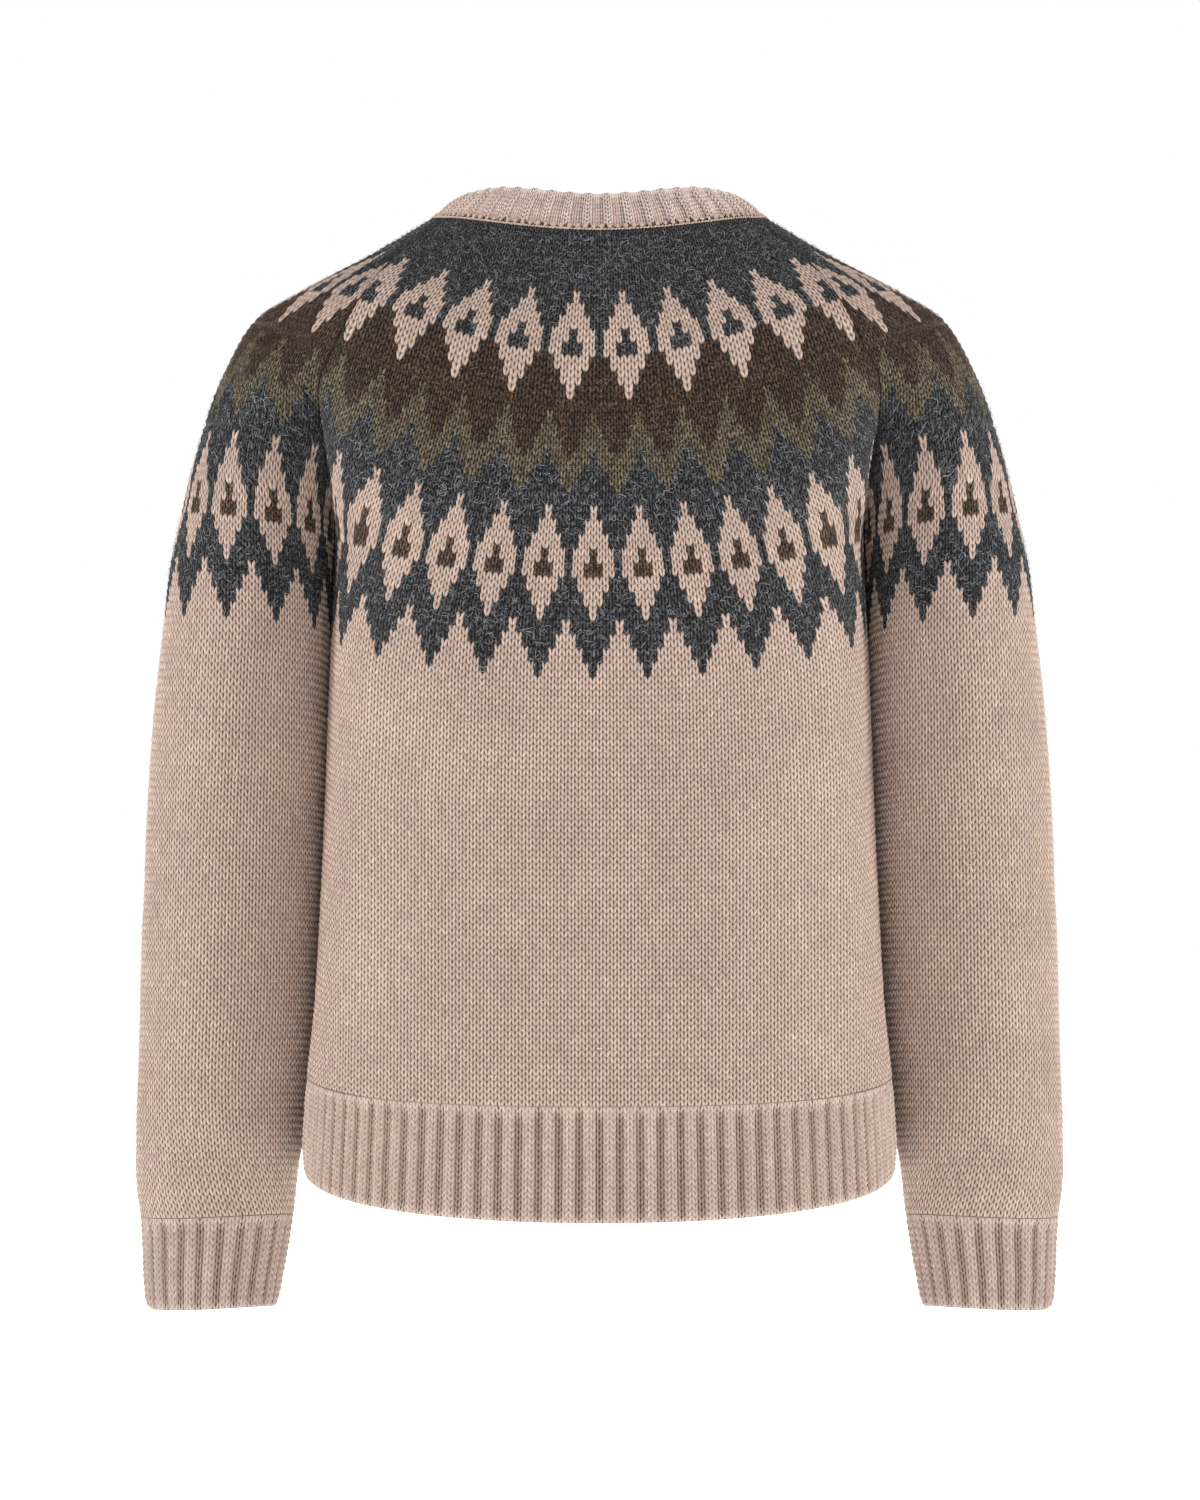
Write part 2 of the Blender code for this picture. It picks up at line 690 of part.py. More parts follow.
def button_profile():
    """A button's half section from its back to its dished front: radius and height."""
    rim = 0.75 * BUTTON_RADIUS
    return [(0.8 * BUTTON_RADIUS, 0.0), (BUTTON_RADIUS, 0.35 * BUTTON_THICK),
            (0.93 * BUTTON_RADIUS, 0.9 * BUTTON_THICK), (0.84 * BUTTON_RADIUS, BUTTON_THICK),
            (rim, 0.9 * BUTTON_THICK), (0.6 * BUTTON_RADIUS, 0.62 * BUTTON_THICK)]


def button_mesh(centre, facing):
    """A turned button whose back rests at a point and whose front faces outward."""
    sideways = np.cross(facing, [0.0, 0.0, 1.0])
    sideways /= np.linalg.norm(sideways)
    upward = np.cross(sideways, facing)
    profile = button_profile()
    vertices = []
    for radius, height in profile:
        for side in range(BUTTON_SIDES):
            turn = 2 * math.pi * side / BUTTON_SIDES
            spoke = math.cos(turn) * sideways + math.sin(turn) * upward
            vertices.append(centre + radius * spoke + height * facing)
    faces = [tuple(reversed(range(BUTTON_SIDES)))]
    for ring in range(len(profile) - 1):
        for side in range(BUTTON_SIDES):
            after = (side + 1) % BUTTON_SIDES
            low = ring * BUTTON_SIDES
            high = low + BUTTON_SIDES
            faces.append((low + side, low + after, high + after, high + side))
    last = (len(profile) - 1) * BUTTON_SIDES
    faces.append(tuple(range(last, last + BUTTON_SIDES)))
    return vertices, faces


def make_buttons(material):
    """Buttons evenly down the front bands, the first on the collar and the last on the hem."""
    down = np.linspace(BUTTON_FIRST, BUTTON_LAST, BUTTON_COUNT)
    lift = np.full((BUTTON_COUNT, 1), BAND_LIFT + RIB_RAISED + SEAM_GAP)
    places, facing = opening_strip(down, np.array([0.0]), lift)
    for index in range(BUTTON_COUNT):
        made = button_mesh(places[index, 0], facing[index, 0])
        new_object("button_%d" % (index + 1), made, material)


def build():
    """Clear the scene and make every piece."""
    for old in list(bpy.data.objects):
        bpy.data.objects.remove(old, do_unlink=True)
    yarn = finish("knit_oatmeal", (0.56, 0.43, 0.34), 0.95)
    horn = finish("button_horn", (0.10, 0.06, 0.04), 0.4)
    make_back(yarn)
    make_fronts(yarn)
    make_sleeves(yarn)
    make_hem(yarn)
    make_cuffs(yarn)
    make_collar(yarn)
    make_bands(yarn)
    make_buttons(horn)


build()
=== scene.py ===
"""Looks of the knitted cardigan, stitch by stitch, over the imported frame.

Every panel, rib and band is a closed wall: its outer side is a grid of knit stitches with two legs each,
and its inner side is plain. Rows are counted from the neck seam, wales from a panel's middle line.

Lengths are in millimetres until a mesh is made. "Down" is how far a row lies below the neck seam on the
centre back, as in the solids, whose curves are repeated here.
"""

import math

import bmesh
import bpy
import numpy as np
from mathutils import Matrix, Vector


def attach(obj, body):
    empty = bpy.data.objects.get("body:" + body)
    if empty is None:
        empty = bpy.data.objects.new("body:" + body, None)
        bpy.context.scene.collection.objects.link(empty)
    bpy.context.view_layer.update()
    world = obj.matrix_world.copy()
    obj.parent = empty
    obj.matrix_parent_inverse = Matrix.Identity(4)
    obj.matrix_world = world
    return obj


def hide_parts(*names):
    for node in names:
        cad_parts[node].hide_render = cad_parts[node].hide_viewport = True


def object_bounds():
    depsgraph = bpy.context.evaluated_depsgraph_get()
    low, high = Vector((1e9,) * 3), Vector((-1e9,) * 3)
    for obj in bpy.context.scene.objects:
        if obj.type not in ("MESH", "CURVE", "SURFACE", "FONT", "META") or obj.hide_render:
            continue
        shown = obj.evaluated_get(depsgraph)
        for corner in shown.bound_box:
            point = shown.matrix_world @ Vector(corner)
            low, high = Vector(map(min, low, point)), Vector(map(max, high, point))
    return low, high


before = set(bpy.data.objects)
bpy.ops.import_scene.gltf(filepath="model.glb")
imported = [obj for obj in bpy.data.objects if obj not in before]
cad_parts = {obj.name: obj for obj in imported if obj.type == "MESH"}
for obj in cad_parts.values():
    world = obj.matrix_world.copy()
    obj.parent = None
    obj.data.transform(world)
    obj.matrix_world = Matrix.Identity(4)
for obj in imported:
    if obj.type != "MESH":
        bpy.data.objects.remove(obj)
CAD_BOX = [list(corner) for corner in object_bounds()]
METRES = 0.001
MIRROR = np.array([-1.0, 1.0, 1.0])
RANDOM = np.random.default_rng(11)

# Camera: a long lens, level with the middle of the garment, straight at its back
CAMERA_PLACE = (0.0003, -2.3, -0.303)
SENSOR = 36.0
FRAME_HEIGHT = 0.855
FLOOR_DROP = 0.12
FLOOR_GLOW = 0.85
SKY_LIGHT = 0.24
LIGHT_TARGET = (0, 0, -0.3)

# Soft boxes: name, place, size and power
SOFT_BOXES = [
    ("left_box", (-1.6, -0.45, 0.1), (0.5, 1.8), 16.3),
    ("right_box", (1.6, -0.45, 0.1), (0.5, 1.8), 16.8),
    ("top_box", (0.0, -1.6, 1.0), (1.6, 0.9), 15.5),
    ("front_box", (0.0, 1.9, 0.7), (2.2, 1.2), 26.0),
]

# The solids' driving sizes
WALL = 2.8
SEAM_GAP = 0.3
HALF_GAP = 0.5 * SEAM_GAP
NECK_GAP = 1.0
UNDERARM = 190.0
SLEEVE_CLEAR_FROM = 140.0
RIB_TOP = 491.0
HEM_END = 555.0
CUFF_TOP = 588.0
CUFF_END = 637.0
SLEEVE_CLIMB = 0.14
BACK_HEM_RIBS = 42
FRONT_HEM_RIBS = 19
CUFF_RIBS = 22
COLLAR_RIBS = 42
COLLAR_HEIGHT = 28.0
COLLAR_LEAN = 17.0
COLLAR_BULGE = 1.6
BAND_HALF = 15.0
BAND_UNDER_EDGE = 13.0
BAND_UNDER_END = 5.0
BAND_STEP = 7.0
BAND_LIFT = WALL + 1.1
BUTTON_COUNT = 8
BUTTON_PROFILE = [(6.9, 0.0), (8.2, 0.35), (8.9, 1.0), (9.0, 1.7), (8.75, 2.7), (8.25, 3.35), (7.6, 3.6),
                  (7.0, 3.35), (6.4, 2.75), (5.4, 2.3), (4.0, 2.15), (0.6, 2.1)]
BUTTON_SIDES = 64
BUTTON_HOLES = [(-1.75, -1.75), (1.75, -1.75), (1.75, 1.75), (-1.75, 1.75)]
HOLE_RADIUS = 0.95
THREAD_LIFT = 2.3
THREAD_LENGTH = 5.2
THREAD_WIDTH = 1.2
HORN = (0.060, 0.030, 0.017)
DRILL = [(HOLE_RADIUS, -1.0), (HOLE_RADIUS, 5.0)]
DRILL_SIDES = 20

# A bead of yarn: places along it and sizes, from point to point
BEAD_PROFILE = [(-0.5, 0.0), (-0.28, 0.8), (0.0, 1.0), (0.28, 0.8), (0.5, 0.0)]
BEAD_SIDES = 6

# How finely curves are sampled
CURVE_SAMPLES = 120
GRID_COLUMNS = 221
GRID_STEP = 2.5
COLLAR_STEP = 1.5
SHARE_STEP = 0.002
DOWN_STEP = 1.0

# The bake map, from 0 to 1 across: where the outer and the inner side start and how wide they are, where
# they part, and the places of the rims on the inner and on the outer side
BAKE_OUTSIDE = (0.0, 0.86)
BAKE_INSIDE = (0.87, 0.11)
BAKE_SPLIT = 0.865
BAKE_RIMS = (0.998, 0.992)

# A stitch: its tip lies lower than its arms by this share of a row, and these are its heights
TIP_DROP = 0.62
PANEL_HEIGHTS = {"corner": -0.38, "edge": -0.4, "end": -0.4, "touch": -0.05, "crest": 0.28}
JITTER = 0.09
SPREAD = 0.28

# The most that stitches widen where the back turns away, so that they stay even seen from behind
STRETCH = 1.5

# Rows of the body and of the sleeves against down
YOKE_ROWS = [(0, 0.15), (11, 44), (27, 108), (43, 167), (59, 229), (67, 260)]
BODY_ROWS = YOKE_ROWS + [(136, RIB_TOP - 0.15)]
SLEEVE_ROWS = YOKE_ROWS + [(151, CUFF_TOP - 0.15)]
FIRST_INCREASE = 28
SECOND_INCREASE = 42
ROW_GAP = 0.12

# The most of a sleeve's width that lies on one side of its outer line
SLEEVE_HALF = 0.62

# Width of a stitch against down, from one round of increases to the next
WALES = [
    [(0, 2.65), (44, 3.05), (80, 3.74), (113, 4.10)],
    [(111, 2.95), (137, 3.14), (160, 3.38), (165, 3.42)],
    [(163, 2.99), (201, 3.38), (229, 3.62), (259, 3.73), (330, 3.81), (650, 3.81)],
]
SLEEVE_WALES = [
    [(0, 2.40), (44, 2.74), (80, 3.54), (113, 4.05)],
    [(111, 3.10), (137, 3.35), (160, 3.60), (165, 3.65)],
    [(163, 3.05), (201, 3.36), (229, 3.60), (259, 3.72), (330, 3.81), (650, 3.81)],
]

# How far rows rise against down: towards the sides of the body, and on the whole sleeve
RISE_AT = 132.0
BODY_RISE = [(80, 0), (140, 3.6), (198, 14.8), (259, 10.8), (330, 3), (400, 0)]
SLEEVE_RISE = [(80, 0), (137, 2), (198, 6.5), (259, 8.5), (400, 0)]

# Where the sleeve and the body lie against each other: down and how far each side swells. The body
# swells behind the side and the sleeve in front of it, so that they stay clear of each other.
TOUCHING = [(168, 0.0), (186, 1.3), (215, 1.9), (330, 1.9), (450, 2.0), (500, 2.4), (535, 2.4), (556, 0.0)]
TOUCH_WIDTH = 18.0
TOUCH_PLACE = 14.0
BACK_TOUCH = [(0, TOUCH_PLACE), (1, -TOUCH_PLACE)]
FRONT_TOUCH = [(1, TOUCH_PLACE)]
SLEEVE_TOUCH = [(0, -TOUCH_PLACE), (1, -TOUCH_PLACE)]

# The chart. Each repeat is eight stitches wide.
REPEAT = 8
DIAMOND = [0, 0, 1, 1, 2, 2, 3, 3, 3, 3, 2, 2, 1, 1, 0, 0]
DROP = [-1, -1, -1, -1, -1, -1, 0, 0, 1, 1, -1, -1, -1, -1, -1, -1]
UPPER_DIAMONDS = 11
BROWN_FROM = 21
OLIVE_TIPS = 29
GRAY_TIPS = 35
LOWER_DIAMONDS = 43
BEIGE_TIPS = 59
OLIVE_ROWS = 7
GRAY_ROWS = 6
BEIGE_ROWS = 8
UPPER_MIDDLE = 4
BODY_MIDDLE = -1
SLEEVE_MIDDLE = 3

BEIGE = (0.57, 0.425, 0.350)
GRAY = (0.042, 0.041, 0.044)
BROWN = (0.057, 0.032, 0.020)
OLIVE = (0.122, 0.096, 0.060)
TEARDROP = (0.084, 0.050, 0.031)

YARNS = [BEIGE, GRAY, BROWN, OLIVE, TEARDROP]
UNEVEN = [0.06, 0.26, 0.20, 0.16, 0.16]

# The inner side's colour from some down on, and what it is multiplied by
INNER_TONES = [(-math.inf, GRAY, 1.3), (85, BROWN, 1.3), (130, GRAY, 1.6), (235, BEIGE, 1.0)]

# Loose fibres: how many on a stitch of each yarn, their colours, brightness, lengths, heights over the skin,
# bends and half widths, and the part of a bake cell that each fills
FIBRES = np.array([0.05, 1.6, 0.5, 0.3, 0.1])
MOST_FIBRES = 1.6
FIBRE_TONES = np.array([(0.62, 0.52, 0.45), (0.220, 0.225, 0.240), (0.17, 0.115, 0.08), (0.26, 0.22, 0.14),
                        (0.17, 0.115, 0.08)])
FIBRE_RANGE = (0.5, 1.7)
FIBRE_LENGTH = (1.8, 5.0)
FIBRE_LIFTS = [(0.1, 0.7), (0.6, 1.2), (0.5, 1.4), (0.2, 1.5)]
FIBRE_POINTS = len(FIBRE_LIFTS)
FIBRE_TURN = 0.55
FIBRE_BAKE_ACROSS = (0.15, 0.85)
FIBRE_BAKE_ALONG = (0.1, 0.9)
FIBRE_HALF_WIDTHS = (0.06, 0.10, 0.09, 0.04)

# Painted shade: how dark the yarn is made at the seams' sides and where two grids of stitches meet
SEAM_SHADE = 0.35
JOIN_SHADE = 0.5

# The collar's linking: how far below the neck seam it starts, then its loops and the thin chain below them
LINK_DOWN = -0.4
LINKS = [
    # pitch, lift, rise, length, width, thickness, lean, upright
    (4.5, 0.15, 2.1, 3.9, 2.7, 1.5, 0.0, True),
    (2.0, 0.5, -0.35, 2.5, 1.25, 1.25, 0.35, False),
]
LINK_UNEVEN = 0.06
LINK_MARGIN = 2.0
LINK_TONE = (0.60, 0.44, 0.35)

# The yarn's colour deep in the ribs' grooves, as painted shade, and behind the neck's linking loops, as
# painted shadow
NARROW_PURL = (0.84, 0.80, 0.76)
WIDE_PURL = (1.04, 1.02, 1.00)
LINK_SHADE = (0.22, 0.18, 0.15)

# The fine knit: the widths of the holes, of the line between two legs and of that between rows, as a share of
# half a wale or of a row, and how dark the painted shade in the lines is
HOLE_WIDTH = 0.27
HOLE_HEIGHT = 0.30
LEG_LINE = 0.13
LEG_LINE_SHADE = 0.34
ROW_LINE = 0.12
ROW_LINE_SHADE = 0.12

# Scale and detail of each noise
MOTTLE_NOISE = (420.0, 3.0)
PATCH_NOISE = (22.0, 2.0)
SPECKLE_NOISE = (700.0, 2.0)
FINE_NOISE = (1600.0, 2.0)
FIBRE_NOISE = (700.0, 1.0)
HORN_NOISE = (160.0, 4.0)
TWIST_NOISE = (1400.0, 2.0)

# Noise to brightness: from low, from high, to low, to high. The darkness is of a yarn's red.
MOTTLE_RAMP = (0.0, 1.0, 0.80, 1.20)
PATCH_RAMP = (0.25, 0.75, 0.93, 1.07)
SPECKLE_RAMP = (0.36, 0.70, 0.25, 2.6)
DARKNESS_RAMP = (0.06, 0.30, 1.0, 0.0)
FIBRE_RAMP = (0.2, 0.8, 0.6, 1.4)
HORN_RAMP = (0.3, 0.72, 0.35, 2.2)
TWIST_RAMP = (0.25, 0.75, 0.72, 1.2)

# How much of the colour painted shade leaves in a hole between two legs of pale and of dark yarn
HOLE_SHADE = 0.16
DARK_HOLE_SHADE = 0.0

# How strong the painted shade in the holes is: in the ribs' and the collar's knit stitches, and in narrow and
# wide purl parts
RIB_HOLES = 0.5
COLLAR_HOLES = 0.9
NARROW_HOLES = 1.1
WIDE_HOLES = 0.5

# Brightness of the ribs' yarn against the panels': painted light on the collar, painted shade on the cuffs.
# How far below their tops the ribs start
RIB_TONE = np.array([0.98, 1.02, 1.05])
CUFF_TONE = np.array([0.90, 0.94, 0.97])
COLLAR_TONE = np.array([1.27, 1.38, 1.49])
RIB_STARTS = (0.0, 3.5)
RIB_FADE = 4.5
RIB_MARGIN = 1.0

# How far knit wales stand up, how far purl wales sink in a rib and in the collar, how far the collar sinks at
# its seam, how uneven the yarn is, and the share of a stitch's relief that is left where a rib fades
RIB_RAISED = 0.5
RIB_SUNK = 1.4
COLLAR_SUNK = 1.8
SEAM_SINK = 0.25
RIB_UNEVEN = 0.05
PLAIN_DETAIL = 0.25

# Heights of a rib's knit and purl stitches over its round
RIB_HEIGHTS = {"corner": (-0.75, -0.5), "edge": (-0.5, -0.5), "end": (-0.5, -0.4), "touch": (-0.35, -0.6),
               "crest": (0.2, 0.35)}

# How far a rib's end rolls in, how far the collar's top edge stands up over its knit ribs, and the height
# of a row of the collar, the hem, the cuffs and the bands
END_ROLL = 1.9
SCALLOP = 1.0
COLLAR_ROW = 2.9
HEM_ROW = 3.36
CUFF_ROW = 3.5
BAND_ROW = 3.4


def table(columns, rows):
    """Named columns against the first one."""
    values = np.array(rows, dtype=float)
    return {name: (values[:, 0], values[:, index]) for index, name in enumerate(columns.split())}


BACK_LINE = table("down y z", [
    (0, -67, -15),
    (44, -91, -52),
    (80, -104, -85),
    (108, -111, -113),
    (137, -115, -141),
    (167, -118, -171),
    (201, -120, -205),
    (259, -120, -263),
    (330, -118, -334),
    (400, -117, -404),
    (491, -119, -496),
    (555, -120, -559),
])
FRONT_LINE = table("down y z", [
    (0, 66, -68),
    (44, 84, -94),
    (80, 96, -121),
    (108, 103, -145),
    (137, 108, -170),
    (167, 111, -197),
    (201, 113, -228),
    (259, 113, -282),
    (330, 112, -348),
    (400, 113, -414),
    (491, 116, -497),
    (555, 118, -556),
])
BACK_RAGLAN = [
    (0, 86, -27, -3, 61, 0.10, 0.60, 61, 10),
    (44, 114, -43, -26, 57, 0.24, 0.60, 57, 15),
    (80, 131, -66, -50, 39, 0.28, 0.60, 39, 28),
    (108, 145, -73, -77, 40, 0.28, 0.60, 30, 33),
    (137, 156, -64, -105, 64, 0.25, 0.64, 0, 36),
    (152, 155.5, -50, -121, 84, 0.22, 0.68, -28, 40),
    (167, 152.5, -34, -139, 95, 0.18, 0.70, -54, 50),
    (180, 150.5, -14, -160, 94, 0.15, 0.71, -76, 66),
]
FRONT_RAGLAN = [
    (0, 84, 33, -9, 61, 0.42, 0.60, 61, 10),
    (44, 110, 47, -36, 55, 0.43, 0.60, 55, 15),
    (80, 130, 66, -63, 40, 0.38, 0.60, 40, 28),
    (108, 144, 72, -88, 40, 0.36, 0.60, 30, 33),
    (137, 155, 66, -113, 64, 0.30, 0.64, 0, 36),
    (152, 155, 54, -127, 84, 0.25, 0.68, -28, 40),
    (167, 152.5, 40, -143, 95, 0.20, 0.70, -54, 50),
    (180, 150.5, 23, -161, 94, 0.16, 0.71, -76, 66),
]
SIDE = [
    (190, 150.5, 6, -178, 90, 0.14, 0.72, -90, 80),
    (259, 152.5, 6, -246, 90, 0.14, 0.72, -90, 80),
    (330, 154, 4, -318, 90, 0.13, 0.70, -90, 80),
    (400, 157, 2, -391, 90, 0.11, 0.68, -90, 80),
    (450, 160, 1, -446, 90, 0.08, 0.67, -90, 80),
    (491, 164, 0, -488, 90, 0.07, 0.66, -90, 80),
    (555, 167.5, 0, -543, 90, 0.08, 0.66, -90, 80),
]
SEAM_COLUMNS = "down x y z body_turn climb fullness sleeve_turn reach"
BACK_SEAM = table(SEAM_COLUMNS, BACK_RAGLAN + SIDE)
FRONT_SEAM = table(SEAM_COLUMNS, FRONT_RAGLAN + SIDE)
SLEEVE_OUTER = table("down x y z reach", [
    (0, 95, 2, 0, 10),
    (44, 126, 3, -19, 18),
    (80, 168, 3, -41, 24),
    (108, 195, 4, -57, 31),
    (137, 214, 5, -89, 42),
    (152, 221.5, 5.5, -108, 52),
    (167, 228, 6, -129, 62),
    (180, 233, 6.5, -145, 72),
    (190, 236, 7, -158, 80),
    (229, 245.5, 9, -202, 79),
    (259, 249.5, 11, -235, 78),
    (300, 254.5, 14, -277, 76),
    (355, 259, 18, -332, 74),
    (411, 262, 22, -389, 72),
    (468, 265, 27, -448, 69),
    (525, 268.5, 32, -506, 66),
    (553, 269, 34, -535, 62),
    (575, 267.5, 36, -558, 57),
    (588, 265.5, 37, -572, 54),
    (600, 264.5, 38, -585, 52),
    (620, 264, 39.5, -606, 49),
    (637, 262.5, 41, -626, 46),
])
SLEEVE_INNER = table("down x y z reach", [
    (190, 151.4, 6, -178, 80),
    (259, 154.7, 10, -246, 78),
    (330, 156.5, 16, -318, 75),
    (411, 159.7, 23, -391, 72),
    (468, 163.2, 28, -448, 69),
    (525, 169, 33, -506, 66),
    (553, 173, 35, -535, 62),
    (588, 177.5, 37, -572, 54),
    (637, 187, 41, -626, 46),
])

# How far the collar stands up, against the angle round the neck from the centre back
COLLAR_UP = table("turn up", [
    (0, 22.6),
    (30, 22.4),
    (50, 20.9),
    (75, 15.5),
    (95, 13.0),
    (180, 17.0),
])

# Soft folds: where each lies across its piece, from 0 to 1, and its down, its size, how far it stands out and
# how far it drifts across
FOLD_COLUMNS = "number across along half_width half_length depth lean"
FOLDS = {
    "back": table(FOLD_COLUMNS, [
        (0, 0.045, 215, 0.045, 70, -2.5, 0.00),
        (1, 0.955, 215, 0.045, 70, -2.5, 0.00),
        (2, 0.20, 410, 0.05, 90, -2.0, -0.06),
        (3, 0.80, 430, 0.05, 80, -2.0, 0.06),
        (4, 0.36, 330, 0.07, 120, 1.6, 0.02),
        (5, 0.63, 360, 0.07, 110, 1.5, -0.02),
        (6, 0.50, 250, 0.08, 90, -1.4, 0.00),
    ]),
    "front": table(FOLD_COLUMNS, [
        (0, 0.90, 215, 0.08, 70, -2.5, 0.00),
        (1, 0.60, 380, 0.10, 110, 1.8, 0.05),
        (2, 0.30, 430, 0.08, 90, -1.6, 0.03),
    ]),
    "sleeve": table(FOLD_COLUMNS, [
        (0, 0.20, 300, 0.05, 75, -2.6, 0.03),
        (1, 0.82, 330, 0.06, 60, -3.2, -0.04),
        (2, 0.70, 392, 0.12, 16, -3.0, -0.10),
        (3, 0.30, 470, 0.06, 60, 2.2, 0.04),
        (4, 0.24, 556, 0.16, 13, -2.4, -0.06),
        (5, 0.74, 560, 0.16, 12, -2.6, 0.06),
        (6, 0.50, 520, 0.07, 45, -2.0, 0.03),
    ]),
}


def read(source, name, at):
    """One column of a table at any rows, by a smooth curve that adds no bumps between the rows."""
    knots, values = source[name]
    at = np.clip(np.atleast_1d(np.asarray(at, dtype=float)), knots[0], knots[-1])
    steps = np.diff(knots)
    slopes = np.diff(values) / steps
    tangents = np.zeros(len(knots))
    tangents[0] = slopes[0]
    tangents[-1] = slopes[-1]
    for k in range(1, len(knots) - 1):
        if slopes[k - 1] * slopes[k] > 0:
            before = 2 * steps[k] + steps[k - 1]
            after = steps[k] + 2 * steps[k - 1]
            tangents[k] = (before + after) / (before / slopes[k - 1] + after / slopes[k])
    cell = np.clip(np.searchsorted(knots, at, side="right") - 1, 0, len(steps) - 1)
    width = steps[cell]
    t = (at - knots[cell]) / width
    return ((2 * t**3 - 3 * t**2 + 1) * values[cell] + (t**3 - 2 * t**2 + t) * width * tangents[cell]
            + (3 * t**2 - 2 * t**3) * values[cell + 1] + (t**3 - t**2) * width * tangents[cell + 1])


def points(x, y, z):
    """Coordinates for each row as one array of points."""
    return np.stack(np.broadcast_arrays(x, y, z), axis=-1).astype(float)


def bezier(first, pull_first, pull_last, last):
    """Rows of cubic curves, finely sampled."""
    t = np.linspace(0, 1, CURVE_SAMPLES)[None, :, None]
    return ((1 - t)**3 * first[:, None] + 3 * (1 - t)**2 * t * pull_first[:, None]
            + 3 * (1 - t) * t**2 * pull_last[:, None] + t**3 * last[:, None])


def spread(curves, shares):
    """Points of each row's curve at the given shares of its length."""
    shares = np.broadcast_to(shares, (len(curves), np.shape(shares)[-1]))
    result = np.zeros(shares.shape + (3,))
    for row, curve in enumerate(curves):
        lengths = np.linalg.norm(np.diff(curve, axis=0), axis=1)
        along = np.concatenate([[0], np.cumsum(lengths)])
        for axis in range(3):
            result[row, :, axis] = np.interp(shares[row] * along[-1], along, curve[:, axis])
    return result


def body_half(down, line, seam):
    """Curves from the centre back or centre front to the seam, on the wearer's right."""
    fullness = read(seam, "fullness", down)[:, None]
    centre = points(0, read(line, "y", down), read(line, "z", down))
    edge = points(read(seam, "x", down), read(seam, "y", down), read(seam, "z", down))
    turn = np.radians(read(seam, "body_turn", down))
    corner_x = edge[:, 0] - np.abs(edge[:, 1] - centre[:, 1]) / np.tan(turn)
    pull_centre = centre + fullness * (points(corner_x, centre[:, 1], centre[:, 2]) - centre)
    corner = points(corner_x, centre[:, 1], edge[:, 2])
    corner[:, 2] -= read(seam, "climb", down) * np.linalg.norm(corner - edge, axis=1)
    pull_edge = edge + fullness * (corner - edge)
    return bezier(centre, pull_centre, pull_edge, edge)


def sleeve_edge(down, seam):
    """Where the sleeve starts: on the raglan seam, and below the underarm on its own inner line."""
    below = down > UNDERARM
    full_gap = read(SLEEVE_INNER, "x", UNDERARM)[0] - read(seam, "x", UNDERARM)[0]
    inner_gap = np.interp(down, [SLEEVE_CLEAR_FROM, UNDERARM], [0, full_gap])
    edge = points(read(seam, "x", down) + inner_gap, read(seam, "y", down), read(seam, "z", down))
    inner = points(*(read(SLEEVE_INNER, axis, down) for axis in "xyz"))
    reach = np.where(below, read(SLEEVE_INNER, "reach", down), read(seam, "reach", down))
    turn = np.radians(np.where(below, -90.0, read(seam, "sleeve_turn", down)))
    return np.where(below[:, None], inner, edge), reach, turn


def sleeve_half(down, seam, forward):
    """Curves from the sleeve's edge to its outer line, on the wearer's right."""
    edge, reach, turn = sleeve_edge(down, seam)
    outer = points(*(read(SLEEVE_OUTER, axis, down) for axis in "xyz"))
    side = 1.0 if forward else -1.0
    climb = np.where(down > UNDERARM, SLEEVE_CLIMB, read(seam, "climb", down))
    pull_edge = edge + points(reach * np.cos(turn), -side * reach * np.sin(turn), reach * climb)
    pull_outer = outer + points(0, side * read(SLEEVE_OUTER, "reach", down), 0)
    return bezier(edge, pull_edge, pull_outer, outer)


def join(first, second):
    """Two rows of curves end to end."""
    return np.concatenate([first[:, :-1], second], axis=1)


def mirrored(curves):
    """The same curves on the wearer's left, run the other way."""
    return curves[:, ::-1] * MIRROR


def back_rings(down):
    """Whole back, from the left seam to the right one."""
    right = body_half(down, BACK_LINE, BACK_SEAM)
    return join(mirrored(right), right)


def front_rings(down):
    """Right front, from the centre front to the seam."""
    return body_half(down, FRONT_LINE, FRONT_SEAM)


def sleeve_rings(down):
    """Right sleeve, from the back seam over the outer line to the front seam."""
    return join(sleeve_half(down, BACK_SEAM, False), sleeve_half(down, FRONT_SEAM, True)[:, ::-1])


def neck_ring():
    """Right half of the neck seam, from the centre back to the centre front."""
    top = np.array([0.0])
    back = body_half(top, BACK_LINE, BACK_SEAM)
    return join(join(back, sleeve_rings(top)), front_rings(top)[:, ::-1])


def collar_rings(down):
    """Whole collar from the centre front round the back, from its top edge to the neck seam at 0."""
    base = neck_ring()[0]
    up = read(COLLAR_UP, "up", np.degrees(np.arctan2(np.abs(base[:, 0]), -base[:, 1])))
    inward = -base * np.array([1.0, 1.0, 0.0])
    inward /= np.linalg.norm(inward, axis=1)[:, None]
    rise = -np.asarray(down)[:, None, None] / COLLAR_HEIGHT
    right = base[None] + inward[None] * (COLLAR_LEAN * rise - COLLAR_BULGE * np.sin(math.pi * rise)**2)
    right[..., 2] += up[None] * rise[..., 0]
    return join(mirrored(right), right)


def opening_rings(down):
    """Both sides of the front opening, from the left to the right."""
    lower = front_rings(np.maximum(down, 0.0))
    upper = collar_rings(np.minimum(down, 0.0))[:, :-CURVE_SAMPLES - 1:-1]
    right = np.where((down < 0)[:, None, None], upper, lower)
    return join(mirrored(right), right)


def row_lengths(curves):
    """The length of each row's curve."""
    return np.linalg.norm(np.diff(curves, axis=1), axis=2).sum(axis=1)


